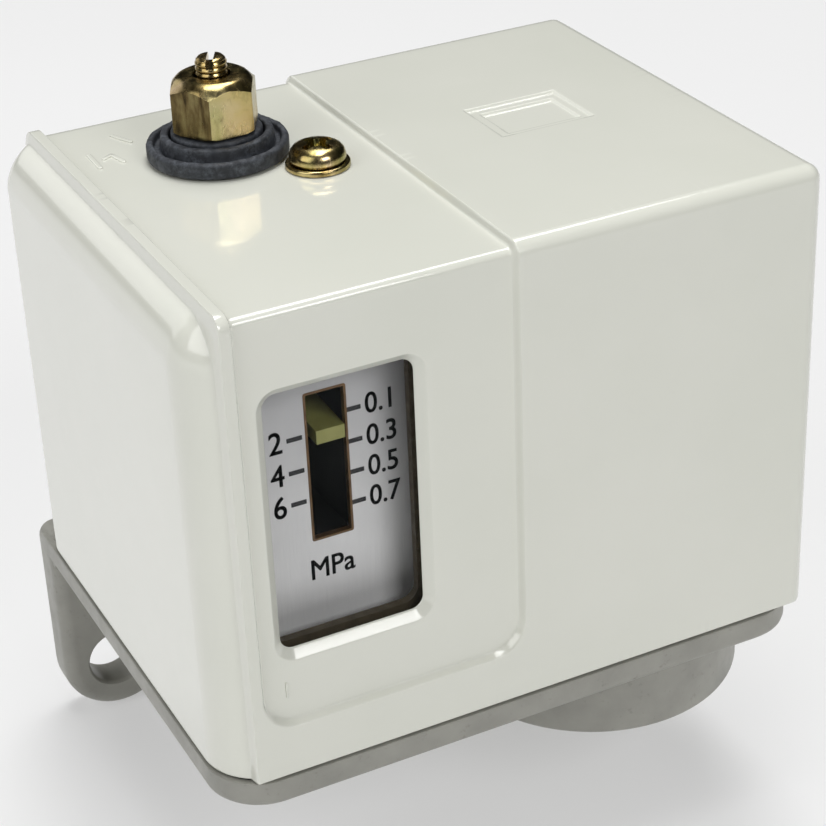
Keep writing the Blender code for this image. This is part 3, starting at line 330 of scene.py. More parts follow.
def lens_material():
    """Thin clear plate: it lets light through and mirrors a little at its surface."""
    made, tree, shader = nodes_of("clear_lens")
    put(shader, Base_Color=(0.10, 0.11, 0.11, 1), Roughness=0.03, Specular_IOR_Level=0.6)
    layer = add(tree, "ShaderNodeLayerWeight")
    put(layer, Blend=0.2)
    smear = noise_node(tree, stretched(tree, (1, 1, 1)), 6, 4.0)
    film = add(tree, "ShaderNodeMath", operation="MULTIPLY_ADD")
    link(spread(tree, smear, 0.0, 0.02), film.inputs[0])
    film.inputs[1].default_value = 1.0
    link(spread(tree, layer.outputs["Fresnel"], 0.01, 0.5, 0.0, 1.0), film.inputs[2])
    link(film.outputs[0], shader.inputs["Alpha"])
    return made


def floor_material():
    """Plain pale studio floor with a glow of its own, so that it stays white."""
    made, tree, shader = nodes_of("studio_floor")
    vector = stretched(tree, (1, 1, 1))
    tone = two_tone(tree, noise_node(tree, vector, 300, 2.0), (0.48, 0.48, 0.48), (0.51, 0.51, 0.51))
    link(tone, shader.inputs["Base Color"])
    put(shader, Roughness=0.9, Specular_IOR_Level=0.0, Emission_Color=(1, 1, 1, 1),
        Emission_Strength=FLOOR_GLOW)
    return made


COVER = cover_material()
CAST = cast_material()
ZINC = zinc_material("zinc_yellow")
# The nut's flats that face left and front carry painted shade.
NUT_ZINC = zinc_material("zinc_yellow_nut", 4.5, (-0.844, -0.536, 0.0))
RUBBER = rubber_material()
DIAL = dial_material()
LENS = lens_material()
STEEL = surface("sheet_steel", (0.50, 0.50, 0.49), (0.64, 0.64, 0.63), 4.0, (0.26, 0.4), 1.0,
                (0.3, 0.1, 0.01), (1, 1, 4))
SPRING = surface("spring_steel", (0.22, 0.22, 0.24), (0.38, 0.385, 0.40), 3.0, (0.24, 0.42), 1.0)
BRASS = surface("brass", (0.58, 0.43, 0.18), (0.76, 0.60, 0.30), 3.0, (0.2, 0.38), 1.0)
POINTER = surface("pointer_olive", (0.30, 0.30, 0.085), (0.38, 0.375, 0.12), 2.0, (0.35, 0.5))
PHENOLIC = surface("switch_phenolic", (0.018, 0.018, 0.02), (0.035, 0.034, 0.036), 3.0, (0.3, 0.48), 0.0,
                   (0.35, 0.25, 0.03))
# Near-black for the sleeve behind the dial's slot: painted shade, so that the slot reads black.
SHADE = surface("slot_painted_shade", (0.001, 0.001, 0.001), (0.003, 0.003, 0.003), 1.0, (0.9, 1.0),
                Specular_IOR_Level=0.05)
SEAL = surface("seal_brown", (0.055, 0.042, 0.022), (0.10, 0.078, 0.045), 1.2, (0.5, 0.7))
INK = surface("dial_ink", (0.010, 0.010, 0.012), (0.022, 0.022, 0.026), 1.0, (0.35, 0.5))
SLOT_EDGE = surface("slot_edge", (0.10, 0.055, 0.02), (0.20, 0.11, 0.045), 2.0, (0.3, 0.5), 0.4)


# ---------------------------------------------------------------- mesh helpers, all in millimetres

def shaded(data, angle=35):
    """The mesh shaded smooth, with creases sharper than the angle kept."""
    data.shade_smooth()
    data.set_sharp_from_angle(angle=math.radians(angle))
    return data


def finish_mesh(bm, name, angle=35):
    bmesh.ops.recalc_face_normals(bm, faces=bm.faces)
    bmesh.ops.scale(bm, vec=(MM, MM, MM), verts=bm.verts)
    data = bpy.data.meshes.new(name)
    bm.to_mesh(data)
    bm.free()
    return shaded(data, angle)


def show(name, data, material, body, slot, *replaced, weighted=True):
    """Put a finished mesh in the scene on its body, in its material, in place of CAD nodes."""
    made = bpy.data.objects.new(name, data)
    bpy.context.scene.collection.objects.link(made)
    data.materials.clear()
    data.materials.append(material)
    if weighted:
        normals = made.modifiers.new("normals", "WEIGHTED_NORMAL")
        normals.keep_sharp = True
    if body:
        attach(made, body)
    if replaced:
        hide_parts(*replaced)
    return made


def placed(name, data):
    """A plain object in the scene, such as a tool that baked() takes away again."""
    made = bpy.data.objects.new(name, data)
    bpy.context.scene.collection.objects.link(made)
    return made


def baked(obj):
    """The object's mesh with its modifiers applied; the object itself is removed."""
    bpy.context.view_layer.update()
    graph = bpy.context.evaluated_depsgraph_get()
    data = bpy.data.meshes.new_from_object(obj.evaluated_get(graph))
    bpy.data.objects.remove(obj, do_unlink=True)
    return data


def boolean(data, tools, operation="DIFFERENCE", angle=35):
    """data with each of the tool meshes cut out, joined or kept in common."""
    target = placed("target", data)
    others = [placed("tool", tool) for tool in tools]
    for other in others:
        step = target.modifiers.new("step", "BOOLEAN")
        step.operation = operation
        step.solver = "EXACT"
        step.object = other
    made = baked(target)
    for other in others:
        bpy.data.objects.remove(other, do_unlink=True)
    return shaded(made, angle)


def bevelled(data, width, segments=3, angle=35):
    """data with its sharp edges rounded."""
    target = placed("target", data)
    step = target.modifiers.new("bevel", "BEVEL")
    step.width = width * MM
    step.segments = segments
    step.limit_method = "ANGLE"
    step.angle_limit = math.radians(angle)
    step.miter_outer = "MITER_ARC"
    step.use_clamp_overlap = True
    return shaded(baked(target), 50)


def arc(centre, radius, start, end, count=8):
    turns = [math.radians(start + (end - start) * i / count) for i in range(count + 1)]
    return [(centre[0] + radius * math.cos(t), centre[1] + radius * math.sin(t)) for t in turns]


def soften(points, radius, count=4, closed=True):
    """The polyline with each corner turned into an arc. radius is one number, or one for each point."""
    made = []
    total = len(points)
    for i, point in enumerate(points):
        r = radius[i] if isinstance(radius, (list, tuple)) else radius
        if not closed and i in (0, total - 1):
            made.append(tuple(point))
            continue
        here = Vector(point)
        before = Vector(points[i - 1]) - here
        after = Vector(points[(i + 1) % total]) - here
        half = before.angle(after) / 2
        if r <= 0 or abs(half - math.pi / 2) < 0.01:
            made.append(tuple(point))
            continue
        reach = min(r / math.tan(half), before.length * 0.48, after.length * 0.48)
        r = reach * math.tan(half)
        start = here + before.normalized() * reach
        end = here + after.normalized() * reach
        middle = here + (before.normalized() + after.normalized()).normalized() * (r / math.sin(half))
        a = math.atan2(start.y - middle.y, start.x - middle.x)
        b = math.atan2(end.y - middle.y, end.x - middle.x)
        turn = (b - a + math.pi) % (2 * math.pi) - math.pi
        angles = [a + turn * k / count for k in range(count + 1)]
        made += [(middle.x + r * math.cos(t), middle.y + r * math.sin(t)) for t in angles]
    return made


def rectangle(low_u, low_v, high_u, high_v, radius, count=6):
    return soften([(low_u, low_v), (high_u, low_v), (high_u, high_v), (low_u, high_v)], radius, count)


def inset(outline, distance):
    """A counter-clockwise outline drawn in by a distance, or let out where it is negative."""
    made = []
    total = len(outline)
    for i in range(total):
        a, b, c = Vector(outline[i - 1]), Vector(outline[i]), Vector(outline[(i + 1) % total])
        first = (b - a).normalized()
        second = (c - b).normalized()
        n1 = Vector((-first.y, first.x))
        n2 = Vector((-second.y, second.x))
        middle = (n1 + n2).normalized()
        made.append(tuple(b + middle * (distance / max(middle.dot(n1), 0.3))))
    return made


def counter_clockwise(outline):
    area = sum(outline[i - 1][0] * p[1] - p[0] * outline[i - 1][1] for i, p in enumerate(outline))
    return outline if area > 0 else list(reversed(outline))


PLANES = {"XY": lambda u, v, w: (u, v, w), "XZ": lambda u, v, w: (u, w, v)}


def loft(name, rings, closed=False, angle=35):
    """Solid through rings of equally many 3-D points; open ones get end faces, closed ones join up."""
    bm = bmesh.new()
    grid = [[bm.verts.new(p) for p in ring] for ring in rings]
    count = len(rings[0])
    pairs = list(zip(grid, grid[1:])) + ([(grid[-1], grid[0])] if closed else [])
    for low, high in pairs:
        for i in range(count):
            j = (i + 1) % count
            bm.faces.new((low[i], low[j], high[j], high[i]))
    if not closed:
        bm.faces.new(list(reversed(grid[0])))
        bm.faces.new(grid[-1])
    return finish_mesh(bm, name, angle)


def rim(edge, steps):
    """(depth, inset) pairs of a rounded rim, from its start at the face to where it has run out."""
    if not edge:
        return [(0.0, 0.0)]
    turns = [math.pi / 2 * i / steps for i in range(steps + 1)]
    return [(edge * (1 - math.cos(t)), edge * (1 - math.sin(t))) for t in turns]


def slab(name, outline, low, high, edge=0.3, plane="XY", steps=3, top_edge=None):
    """Flat plate across a plane from low to high, its rims rounded by edge and top_edge."""
    outline = counter_clockwise(outline)
    turn = PLANES[plane]
    levels = [(low + depth, draw) for depth, draw in rim(edge, steps)]
    top_rim = rim(edge if top_edge is None else top_edge, steps)
    levels += [(high - depth, draw) for depth, draw in reversed(top_rim)]
    return loft(name, [[turn(u, v, w) for u, v in inset(outline, draw)] for w, draw in levels])


def flared(name, outline, levels):
    """Cutter from front to back whose outline is let out by its own amount at each level."""
    outline = counter_clockwise(outline)
    return loft(name, [[(u, w, v) for u, v in inset(outline, -grow)] for w, grow in levels])


def tunnel(name, outline, levels, plane="XZ"):
    """Closed ring of material: the outline drawn in by its own amount at each level."""
    turn = PLANES[plane]
    return loft(name, [[turn(u, v, w) for u, v in inset(outline, draw)] for draw, w in levels], closed=True)


def turned(name, profile, centre, segments=64, angle=35, height=0.0, axis="Z"):
    """Solid of revolution from a closed (radius, height) profile."""
    bm = bmesh.new()
    rows = []
    for radius, level in profile:
        if radius < 1e-6:
            rows.append([bm.verts.new((0, 0, level))])
        else:
            rows.append([bm.verts.new((radius * math.cos(t), radius * math.sin(t), level))
                         for t in [2 * math.pi * k / segments for k in range(segments)]])
    for a, b in zip(rows, rows[1:] + rows[:1]):
        for k in range(segments):
            j = (k + 1) % segments
            if len(a) > 1 and len(b) > 1:
                bm.faces.new((a[k], a[j], b[j], b[k]))
            elif len(a) > 1:
                bm.faces.new((a[k], a[j], b[0]))
            elif len(b) > 1:
                bm.faces.new((a[0], b[j], b[k]))
    if axis == "Y":
        bmesh.ops.rotate(bm, matrix=Matrix.Rotation(math.radians(90), 3, "X"), verts=bm.verts)
        bmesh.ops.translate(bm, vec=(centre[0], height, centre[1]), verts=bm.verts)
    else:
        bmesh.ops.translate(bm, vec=(centre[0], centre[1], height), verts=bm.verts)
    return finish_mesh(bm, name, angle)


def rod(radius, low, high, centre, segments=64, height=0.0, axis="Z"):
    """Plain cylinder, mostly a cutter for a bore."""
    profile = [(0, high), (radius, high), (radius, low), (0, low)]
    return turned("rod", profile, centre, segments, height=height, axis=axis)


def block(low, high, turn=0.0, taper=1.0, centre=None):
    """Box between two corners, turned about Z through its centre; taper narrows its lower end."""
    bm = bmesh.new()
    size = [high[i] - low[i] for i in range(3)]
    bmesh.ops.create_cube(bm, size=1.0, matrix=Matrix.Diagonal((*size, 1)))
    for vertex in bm.verts:
        if vertex.co.z < 0:
            vertex.co.x *= taper
            vertex.co.y *= taper
    if turn:
        bmesh.ops.rotate(bm, matrix=Matrix.Rotation(math.radians(turn), 3, "Z"), verts=bm.verts)
    middle = centre or [(low[i] + high[i]) / 2 for i in range(3)]
    bmesh.ops.translate(bm, vec=middle, verts=bm.verts)
    return finish_mesh(bm, "block")


def hexagon(flats, turn=0.0, corner=0.12):
    """Outline of a hexagon across its flats, its corners slightly rounded."""
    points = arc((0, 0), flats / math.sqrt(3), turn, turn + 300, 5)
    return soften(points, corner, 3)


def shifted(outline, centre):
    """The outline moved from the origin to its place."""
    return [(u + centre[0], v + centre[1]) for u, v in outline]


def metres(place, level):
    return tuple(value * MM for value in (*place, level))


def threads(radius, low, high, pitch, depth):
    """Profile points of a thread, running down the outer side from high to low."""
    points = []
    level = high
    while level - pitch >= low:
        points += [(radius - depth, level), (radius, level - pitch * 0.35), (radius, level - pitch * 0.6)]
        level -= pitch
    points.append((radius - depth, level))
    return points


def joined(*meshes):
    """Several meshes as one, each keeping its own shell."""
    bm = bmesh.new()
    for mesh in meshes:
        bm.from_mesh(mesh)
    data = bpy.data.meshes.new("joined")
    bm.to_mesh(data)
    bm.free()
    return shaded(data)


# ---------------------------------------------------------------- cover

def smooth(value):
    """0 below 0, 1 above 1, and an S-curve between them."""
    value = min(max(value, 0.0), 1.0)
    return value * value * (3 - 2 * value)


def drawn_in(distance, radius):
    """How far a rounded edge has drawn in, at a distance from the end face."""
    if distance >= radius:
        return 0.0
    return radius - math.sqrt(radius ** 2 - (radius - distance) ** 2)


def shoulder_share(x):
    """1 on the low shoulder, 0 on the main block."""
    return 1 - smooth((x - STEP[0]) / (STEP[1] - STEP[0]))


def end_shape(x):
    """Inset of the front and top, inset of the back, and the section's two corner radii at x."""
    if x < STEP[1]:
        share = shoulder_share(x)
        big = drawn_in(x - LEFT, SHOULDER_RADIUS)
        small = drawn_in(x - LEFT, EDGE_RADIUS)
        corner = SHOULDER_RADIUS - big
        return (share * (big + SHOULDER_DROP), small + share * SHOULDER_DROP,
                max(EDGE_RADIUS + (corner - EDGE_RADIUS) * share, LEAST_RADIUS),
                max(EDGE_RADIUS - small, LEAST_RADIUS) * BACK_ROUNDER)
    draw = drawn_in(RIGHT - x, EDGE_RADIUS)
    corner = max(EDGE_RADIUS - draw, LEAST_RADIUS)
    return draw, draw, corner, corner * BACK_ROUNDER


def panel_depth(x, z=HEIGHT):
    """Depth of the recessed panel at x, at a height on the front; over the top it stays the same."""
    side = min(x - PANEL[0], PANEL[1] - x)
    rise = z - PANEL_BOTTOM
    inside = min(side, rise)
    if side < PANEL_RADIUS and rise < PANEL_RADIUS:
        inside = PANEL_RADIUS - math.hypot(PANEL_RADIUS - side, PANEL_RADIUS - rise)
    return PANEL_DEPTH * smooth(inside / WALL_WIDTH + 0.5)


def field_depth(x, y):
    """Two shallow steps of the blank field on the top."""
    depth = 0.0
    for low_x, high_x, low_y, high_y in (FIELD_OUTER, FIELD_INNER):
        inside = min(x - low_x, high_x - x, y - low_y, high_y - y)
        depth += FIELD_STEP * smooth(inside / 0.3 + 0.5)
    return depth


def spaced(low, high, step):
    """Evenly spaced values, about a step apart."""
    count = max(1, round((high - low) / step))
    return [low + (high - low) * i / count for i in range(count + 1)]


def around(edge, reach, count):
    """Values close to both sides of an edge, which a sloping wall needs."""
    return [edge + reach * (2 * i / count - 1) for i in range(count + 1)]


def around_step(edge):
    return around(edge, 0.16, 4) + [edge - 0.4, edge + 0.4]


def cover_stations():
    """X of every section of the cover, closest where its shape changes."""
    stations = [LEFT + SHOULDER_RADIUS * (1 - math.cos(math.radians(a))) for a in range(0, 55, 4)]
    stations += spaced(STEP[0], STEP[1], 0.06)
    stations += around(PANEL[0], WALL_WIDTH / 2, 8) + spaced(-35.8, -31.8, 0.2) + spaced(-29, -8, 3.5)
    stations += spaced(-5.55, -1.5, 0.2) + around(PANEL[1], WALL_WIDTH / 2, 8) + [1, 4, 8, 11]
    for edge in (FIELD_OUTER[0], FIELD_INNER[0], FIELD_INNER[1], FIELD_OUTER[1]):
        stations += around_step(edge)
    stations += [18, 21, 30, 34, 37]
    stations += [RIGHT - EDGE_RADIUS * (1 - math.sin(math.radians(a))) for a in range(0, 91, 10)]
    return sorted(stations)


def cover_section(x):
    """Closed section of the cover's outside at x, from the front's lower edge over the top to the back's."""
    draw, back_draw, corner, back_corner = end_shape(x)
    front = FRONT + draw
    top = HEIGHT - draw
    back = BACK - back_draw
    points = [(front + 0.35, 0.0), (front + 0.1, 0.1), (front, 0.35)]
    split = 42.0
    full = HEIGHT - EDGE_RADIUS
    heights = [2.5, 5.0] + around(PANEL_BOTTOM, WALL_WIDTH / 2, 8) + spaced(7.7, 11.9, 0.2)
    heights += [14, 18, 24, 30, 36, split]
    heights += [split + (z - split) / (full - split) * (top - corner - split) for z in (47, 52, 57, full)]
    points += [(front + panel_depth(x, z), z) for z in heights]

    depth = panel_depth(x)
    turns = [math.pi / 2 * i / 10 for i in range(11)]
    r = max(corner - depth, 0.0)
    points += [(front + corner - r * math.cos(t), top - corner + r * math.sin(t)) for t in turns[1:-1]]
    start = front + corner
    points += [(-50 - (y + 50) / 19.5 * (start + 50), top - depth) for y in (-69.5, -66, -62, -58, -54, -50)]
    middle = [-47, -40, -38, -36.5]
    for edge in (FIELD_OUTER[2], FIELD_INNER[2], FIELD_INNER[3], FIELD_OUTER[3]):
        middle += around_step(edge)
    points += [(y, top - depth - field_depth(x, y)) for y in sorted(middle)]
    points += [(y, top - depth) for y in (-29, -25, -21, -17, -13, -10)]

    for t in reversed(turns[1:]):
        r = back_corner - depth * math.sin(t)
        points.append((back - back_corner + r * math.cos(t), top - back_corner + r * math.sin(t)))
    points += [(back, z) for z in (top - back_corner, 52, 44, 36, 28, 20, 12, 6, 2.5, 0.35)]
    points += [(back - 0.1, 0.1), (back - 0.35, 0.0)]
    return [(x, y, z) for y, z in points]


def cover_cavity():
    outline = rectangle(*CAVITY_LOW[:2], *CAVITY_HIGH[:2], 3.5)
    return slab("cavity", outline, CAVITY_LOW[2], CAVITY_HIGH[2], 0.0, top_edge=2.0, steps=5)


def raised_marks():
    """Four short raised strokes beside the adjuster, which show its sense of turning."""
    level = HEIGHT - PANEL_DEPTH
    strokes = (((-28.6, -13.4), (-27.1, -16.9)), ((-33.35, -17.9), (-33.5, -22.9)),
               ((-32.3, -20.4), (-30.7, -19.5)), ((-30.8, -19.6), (-30.2, -22.6)))
    bars = []
    for start, end in strokes:
        along = (Vector(end) - Vector(start)).normalized() * 0.1
        across = Vector((-along.y, along.x)).normalized() * 0.32
        start, end = Vector(start) - along, Vector(end) + along
        corners = [start - across, end - across, end + across, start + across]
        bars.append(slab("stroke", soften(corners, 0.28, 4), level - 0.4, level + 0.22, 0.05, top_edge=0.15))
    return joined(*bars)


def build_cover():
    body = loft("cover_body", [cover_section(x) for x in cover_stations()])
    window = rectangle(*WINDOW, 1.6, 8)
    opening = flared("opening", window, [(-72.5, 1.35), (-70.5, 1.3), (-70.44, 1.14), (-70.3, 1.03),
                                         (-69.62, 0.18), (-69.4, 0.04), (-69.2, 0.0), (-67.0, 0.0)])
    seat = flared("seat", window, [(-69.4, 1.6), (-66.5, 1.6)])
    holes = [rod(7.6, 55, 70, ADJUSTER), rod(1.9, 55, 70, SCREW, 32)]
    shell = boolean(body, [cover_cavity(), opening, seat] + holes)
    show("cover_shell", shell, COVER, "cover", "white", "cover")
    show("cover_raised_marks", raised_marks(), COVER, "cover", "white")
    ticket = slab("tick", rectangle(-33.15, 10.7, -32.85, 12.9, 0.14, 3), -70.7, -70.36, 0.08, "XZ")
    show("cover_small_mark", ticket, COVER, "cover", "white")

    lens = slab("lens", inset(window, -1.3), -69.1, -67.7, 0.2, "XZ")
    show("lens_plate", lens, LENS, "cover", "clear", "window_lens")
    seal = tunnel("seal", window, [(-2.4, -67.4), (-2.4, -66.9), (-2.4, -66.3),
                                   (-0.4, -66.3), (-0.4, -66.9), (-0.4, -67.4)])
    show("lens_seal", seal, SEAL, "cover", "rubber", "lens_seal_frame")


# ---------------------------------------------------------------- base and pressure housing

def plate_outline():
    """The back plate with its two lugs; its middle is higher, behind the cover."""
    fillet = 4.0
    right = soften([(0, PLATE_TOP), (33, PLATE_TOP), (37, PLATE_CORNER_TOP), (PLATE_HALF, PLATE_CORNER_TOP),
                    (PLATE_HALF, -18)], [0, 3, 3, 2.1, 0], 5, closed=False)[1:-1]
    right += arc(LUG, LUG_RADIUS, 0, -180, 28)
    right += arc((LUG[0] - LUG_RADIUS - fillet, TRAY_FLOOR - fillet), fillet, 0, 90, 8)
    return right + [(-x, z) for x, z in reversed(right)]


def base_tray():
    """Floor with its raised rim, as one shell that turns in at the bottom and over the rim."""
    outline = counter_clockwise(
        soften([(-HALF_BASE, BASE_FRONT), (HALF_BASE, BASE_FRONT), (HALF_BASE, -2.0), (-HALF_BASE, -2.0)],
               [7.5, 7.5, 0, 0], 14))
    levels = [(TRAY_FLOOR, 1.0), (-3.86, 0.5), (-3.5, 0.14), (-3.0, 0.0), (-0.55, 0.0), (-0.38, 0.07),
              (-0.3, 0.25), (-0.3, 0.85), (-0.42, 1.0), (-1.5, 1.05), (-1.5, 1.6)]
    return loft("tray", [[(u, v, w) for u, v in inset(outline, draw)] for w, draw in levels])


def base_lip():
    """Upright lip inside the cover's walls."""
    levels = [(0.0, -2.2), (0.0, 2.7), (0.1, 2.93), (0.3, 3.0),
              (1.2, 3.0), (1.4, 2.93), (1.5, 2.7), (1.5, -2.2)]
    return tunnel("lip", rectangle(-39.15, -68.3, 39.15, -8.5, 5.0, 8), levels, "XY")


def lug_web(side):
    """Concave fillet between the floor's underside and a lug, running out towards its outer end."""
    rings = []
    for x, radius in ((23.5, 3.0), (37.5, 3.0), (39.6, 2.5), (40.9, 1.6), (41.6, 0.6)):
        curve = [(-PLATE_THICKNESS + 0.9, -3.4), (-PLATE_THICKNESS - radius, -3.4)]
        curve += arc((-PLATE_THICKNESS - radius, TRAY_FLOOR - radius), radius, 90, 0, 8)
        curve += [(-PLATE_THICKNESS + 0.9, TRAY_FLOOR - radius)]
        rings.append([(side * x, y, z) for y, z in curve])
    return loft("web", rings)


def build_base():
    back = slab("back", plate_outline(), -PLATE_THICKNESS, 0.0, 2.0, "XZ", 6, top_edge=0.6)
    parts = [back, base_lip(), lug_web(-1), lug_web(1)]
    for y in (-66.9, -32.7):
        ear = soften([(32.3, -1.8), (37.5, -1.8), (37.5, 13.0), (32.3, 13.0)], [0, 0, 1.6, 1.6], 5)
        parts.append(slab("ear", ear, y, y + 1.6, 0.2, "XZ"))
    pad = [(0, -1.28), (3.6, -1.28), (4.2, -1.9), (0, -1.9)]
    parts += [turned("pad", pad, place, 32) for place in BRACKET_SCREWS + FOOT_SCREWS]
    body = boolean(base_tray(), parts, "UNION")

    port = [(0, 2), (16.0, 2), (16.0, -3.4), (16.6, -4.6), (0, -4.6)]
    entry = [(0, 2), (8.6, 2), (8.0, -1.9), (8.0, -3.6), (8.6, -4.6), (0, -4.6)]
    cutters = [turned("cut", port, PORT, 72), turned("cut", entry, CABLE, 48)]
    r = LUG_HOLE_RADIUS
    bolt = [(0, -1.0), (r + 0.9, -1.0), (r + 0.5, -0.1), (r + 0.14, 0.2), (r, 0.6), (r, 5.1), (r + 0.14, 5.5),
            (r + 0.5, 5.8), (r + 0.9, 6.8), (0, 6.8)]
    cutters += [turned("cut", bolt, (side * LUG_HOLE[0], LUG_HOLE[1]), 48, axis="Y") for side in (-1, 1)]
    cutters.append(rod(1.6, -4, 36, PIVOT, 24, -32.0, "Y"))
    cutters += [rod(1.7, -3.4, 0, place, 20)
                for place in BRACKET_SCREWS + FOOT_SCREWS + (DIAL_SCREW, EARTH_SCREW)]
    show("casting", boolean(body, cutters), CAST, "base", "grey", "base_casting")


def housing_screws():
    return arc(PORT, 17.9, 50, 290, 2)


def build_housing():
    outer = soften([(15.7, 1.5), (15.7, -5.2), (16.55, -5.2), (16.55, -4.3), (20.4, -4.3), (20.4, -14.0),
                    (5.9, -14.0)], [0.3, 0, 0, 0, 0.35, 0.8, 0.4], 5, closed=False)
    inside = list(reversed(threads(6.05, -13.0, -6.9, 0.9, -0.35)))
    bore = [(5.7, -13.4)] + inside + [(5.7, -6.5), (2.9, -6.5), (2.9, -5.0), (14.2, -5.0), (14.2, 1.5)]
    housing = turned("housing", outer + bore, PORT, 96)
    counterbore = [(0, -10.0), (2.1, -10.0), (2.1, -13.6), (2.4, -14.4), (0, -14.4)]
    cutters = []
    for place in housing_screws():
        cutters += [turned("cut", counterbore, place, 28), rod(1.2, -11, -3.5, place, 20)]
    show("housing_body", boolean(housing, cutters), CAST, "base", "grey", "pressure_housing")
    top = -10.3
    profile = soften([(0, -2.6), (1.0, -2.6), (1.0, top), (1.8, top), (1.8, top - 1.6), (0, top - 1.6)],
                     [0, 0.2, 0, 0.1, 0.25, 0], 3)
    for i, place in enumerate(housing_screws(), 1):
        socket = slab("socket", shifted(hexagon(1.6), place), top - 2.5, top - 0.7, 0.0)
        screw = boolean(turned("screw", profile, place, 32), [socket])
        show(f"housing_cap_screw_{i}", screw, STEEL, "base", "steel", f"housing_screw_{i}")


def build_bellows():
    """Corrugated cup with four folds."""
    foot, top, wall = -4.7, 6.0, 0.35
    outside = [(0, top), (11.4, top)]
    inside = [(0, top - wall), (11.2, top - wall)]
    folds = 4
    steps = folds * 12
    collar = 0.5
    span = top - foot - 2 * collar
    for i in range(steps + 1):
        level = top - collar - span * i / steps
        radius = 11.55 + 1.42 * math.cos(2 * math.pi * folds * i / steps)
        outside.append((radius, level))
        inside.append((radius - wall, level))
    outside += [(13.0, foot)]
    inside += [(12.6, foot)]
    cup = turned("bellows", outside + list(reversed(inside)), PORT, 64)
    made = show("bellows_body", cup, BRASS, None, "brass", "bellows", weighted=False)
    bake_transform(made)


# ---------------------------------------------------------------- adjuster

def build_grommet():
    """Flexible ring in the cover's hole, a little lumpy above the cover."""
    hole = 6.1
    points = [(hole, 65.35), (7.1, 65.3), (7.25, 63.7), (7.3, 63.35), (8.0, 63.35), (8.1, 64.3), (9.0, 64.15),
              (9.0, 62.2), (7.3, 62.2), (7.3, 59.7), (8.6, 59.7), (8.4, 58.5), (hole, 58.5)]
    radii = [0.35, 0.35, 0, 0.25, 0.25, 0.3, 0.5, 0.35, 0.2, 0.2, 0.3, 0.3, 0.3]
    data = turned("grommet", soften(points, radii, 5), ADJUSTER, 160, 50)
    middle = Vector(metres(ADJUSTER, 0))
    for vertex in data.vertices:
        if vertex.co.z > 62.3 * MM:
            lump = noise.noise(vertex.co * 800) * 0.10 + noise.noise(vertex.co * 2600) * 0.05
            out = vertex.co - middle
            out.z = 0
            vertex.co += (out.normalized() * 0.35 + Vector((0, 0, 1))) * lump * MM
    show("grommet_ring", data, RUBBER, "cover", "rubber", "adjuster_grommet", weighted=False)


def build_lock_nut():
    """Domed hexagon nut, which clamps the adjusting screw on the sleeve."""
    flats, low, high = 10.1, 65.9, 72.8
    corner = flats / math.sqrt(3)
    prism = slab("nut", shifted(hexagon(flats, NUT_TURN), ADJUSTER), low, high, 0.0)
    dome = [(0, high), (3.55, high), (4.05, high - 0.08), (4.5, high - 0.32), (4.9, high - 0.72),
            (5.3, high - 1.2), (corner + 0.3, high - 1.85), (corner + 0.3, low + 0.45), (corner - 0.45, low),
            (0, low)]
    nut = boolean(prism, [turned("crown", dome, ADJUSTER, 96)], "INTERSECT", 25)
    bore = turned("bore", [(0, 74), (2.75, 74), (2.3, 72.4), (2.3, 69.0), (0, 69.0)], ADJUSTER, 40)
    nut = bevelled(boolean(nut, [rod(3.4, 65.0, 69.9, ADJUSTER, 32), bore], angle=25), 0.16, 3, 22)
    show("nut_body", nut, NUT_ZINC, "lock_nut", "zinc", "lock_nut")


def build_adjuster():
    build_grommet()
    ring = soften([(3.5, 65.6), (5.8, 65.6), (5.8, 62.3), (3.5, 62.3)], [0.1, 0.35, 0.2, 0.1], 4)
    show("dust_ring_body", turned("ring", ring, ADJUSTER, 80), RUBBER, "base", "rubber", "dust_ring")
    build_lock_nut()

    stud = [(0, 75.0), (1.55, 75.0), (1.85, 74.7)] + threads(2.0, 70.0, 74.6, 0.7, 0.2)
    stud += [(1.9, 69.4), (1.9, 54.0), (1.9, 53.2), (4.5, 53.2), (4.5, 51.7), (2.9, 51.7)]
    stud += threads(3.0, 31.0, 51.2, 1.0, 0.35) + [(2.4, 30.0), (0, 30.0)]
    screw = turned("stud", stud, ADJUSTER, 48)
    slot = block((-3, -0.45, -1.15), (3, 0.45, 1.15), SLOT_TURN, centre=(*ADJUSTER, 75.0))
    show("stud_body", bevelled(boolean(screw, [slot]), 0.05, 2, 50), ZINC, "adjusting_screw", "zinc",
         "adjusting_screw")

    sleeve = [(2.3, 69.5), (2.9, 69.5)] + threads(3.2, 62.2, 69.3, 0.8, 0.25)
    sleeve += [(4.3, 62.0), (4.3, 57.1), (6.3, 57.1), (6.5, 56.9), (6.5, 55.5), (6.3, 55.3), (2.3, 55.3)]
    show("sleeve_body", turned("sleeve", sleeve, ADJUSTER, 48), ZINC, "base", "zinc", "guide_bushing")

    nut_ring = soften([(3.15, 47.6), (8.0, 47.6), (8.0, SEAT_UNDER), (4.7, SEAT_UNDER), (4.7, 42.6),
                       (3.15, 42.6)], [0.2, 0.4, 0.3, 0.1, 0.6, 0.2], 4)
    show("upper_seat", turned("seat", nut_ring, ADJUSTER, 64), ZINC, "setpoint", "zinc", "spring_nut")
    lower = soften([(0, 14.6), (3.4, 14.6), (4.6, 13.6), (4.6, SEAT_TOP), (8.0, SEAT_TOP), (8.0, 11.3),
                    (0, 11.3)], [0, 0.4, 0.3, 0.1, 0.3, 0.2, 0], 4)
    show("lower_seat", turned("seat", lower, ADJUSTER, 64), ZINC, "lever", "zinc", "lower_spring_seat")


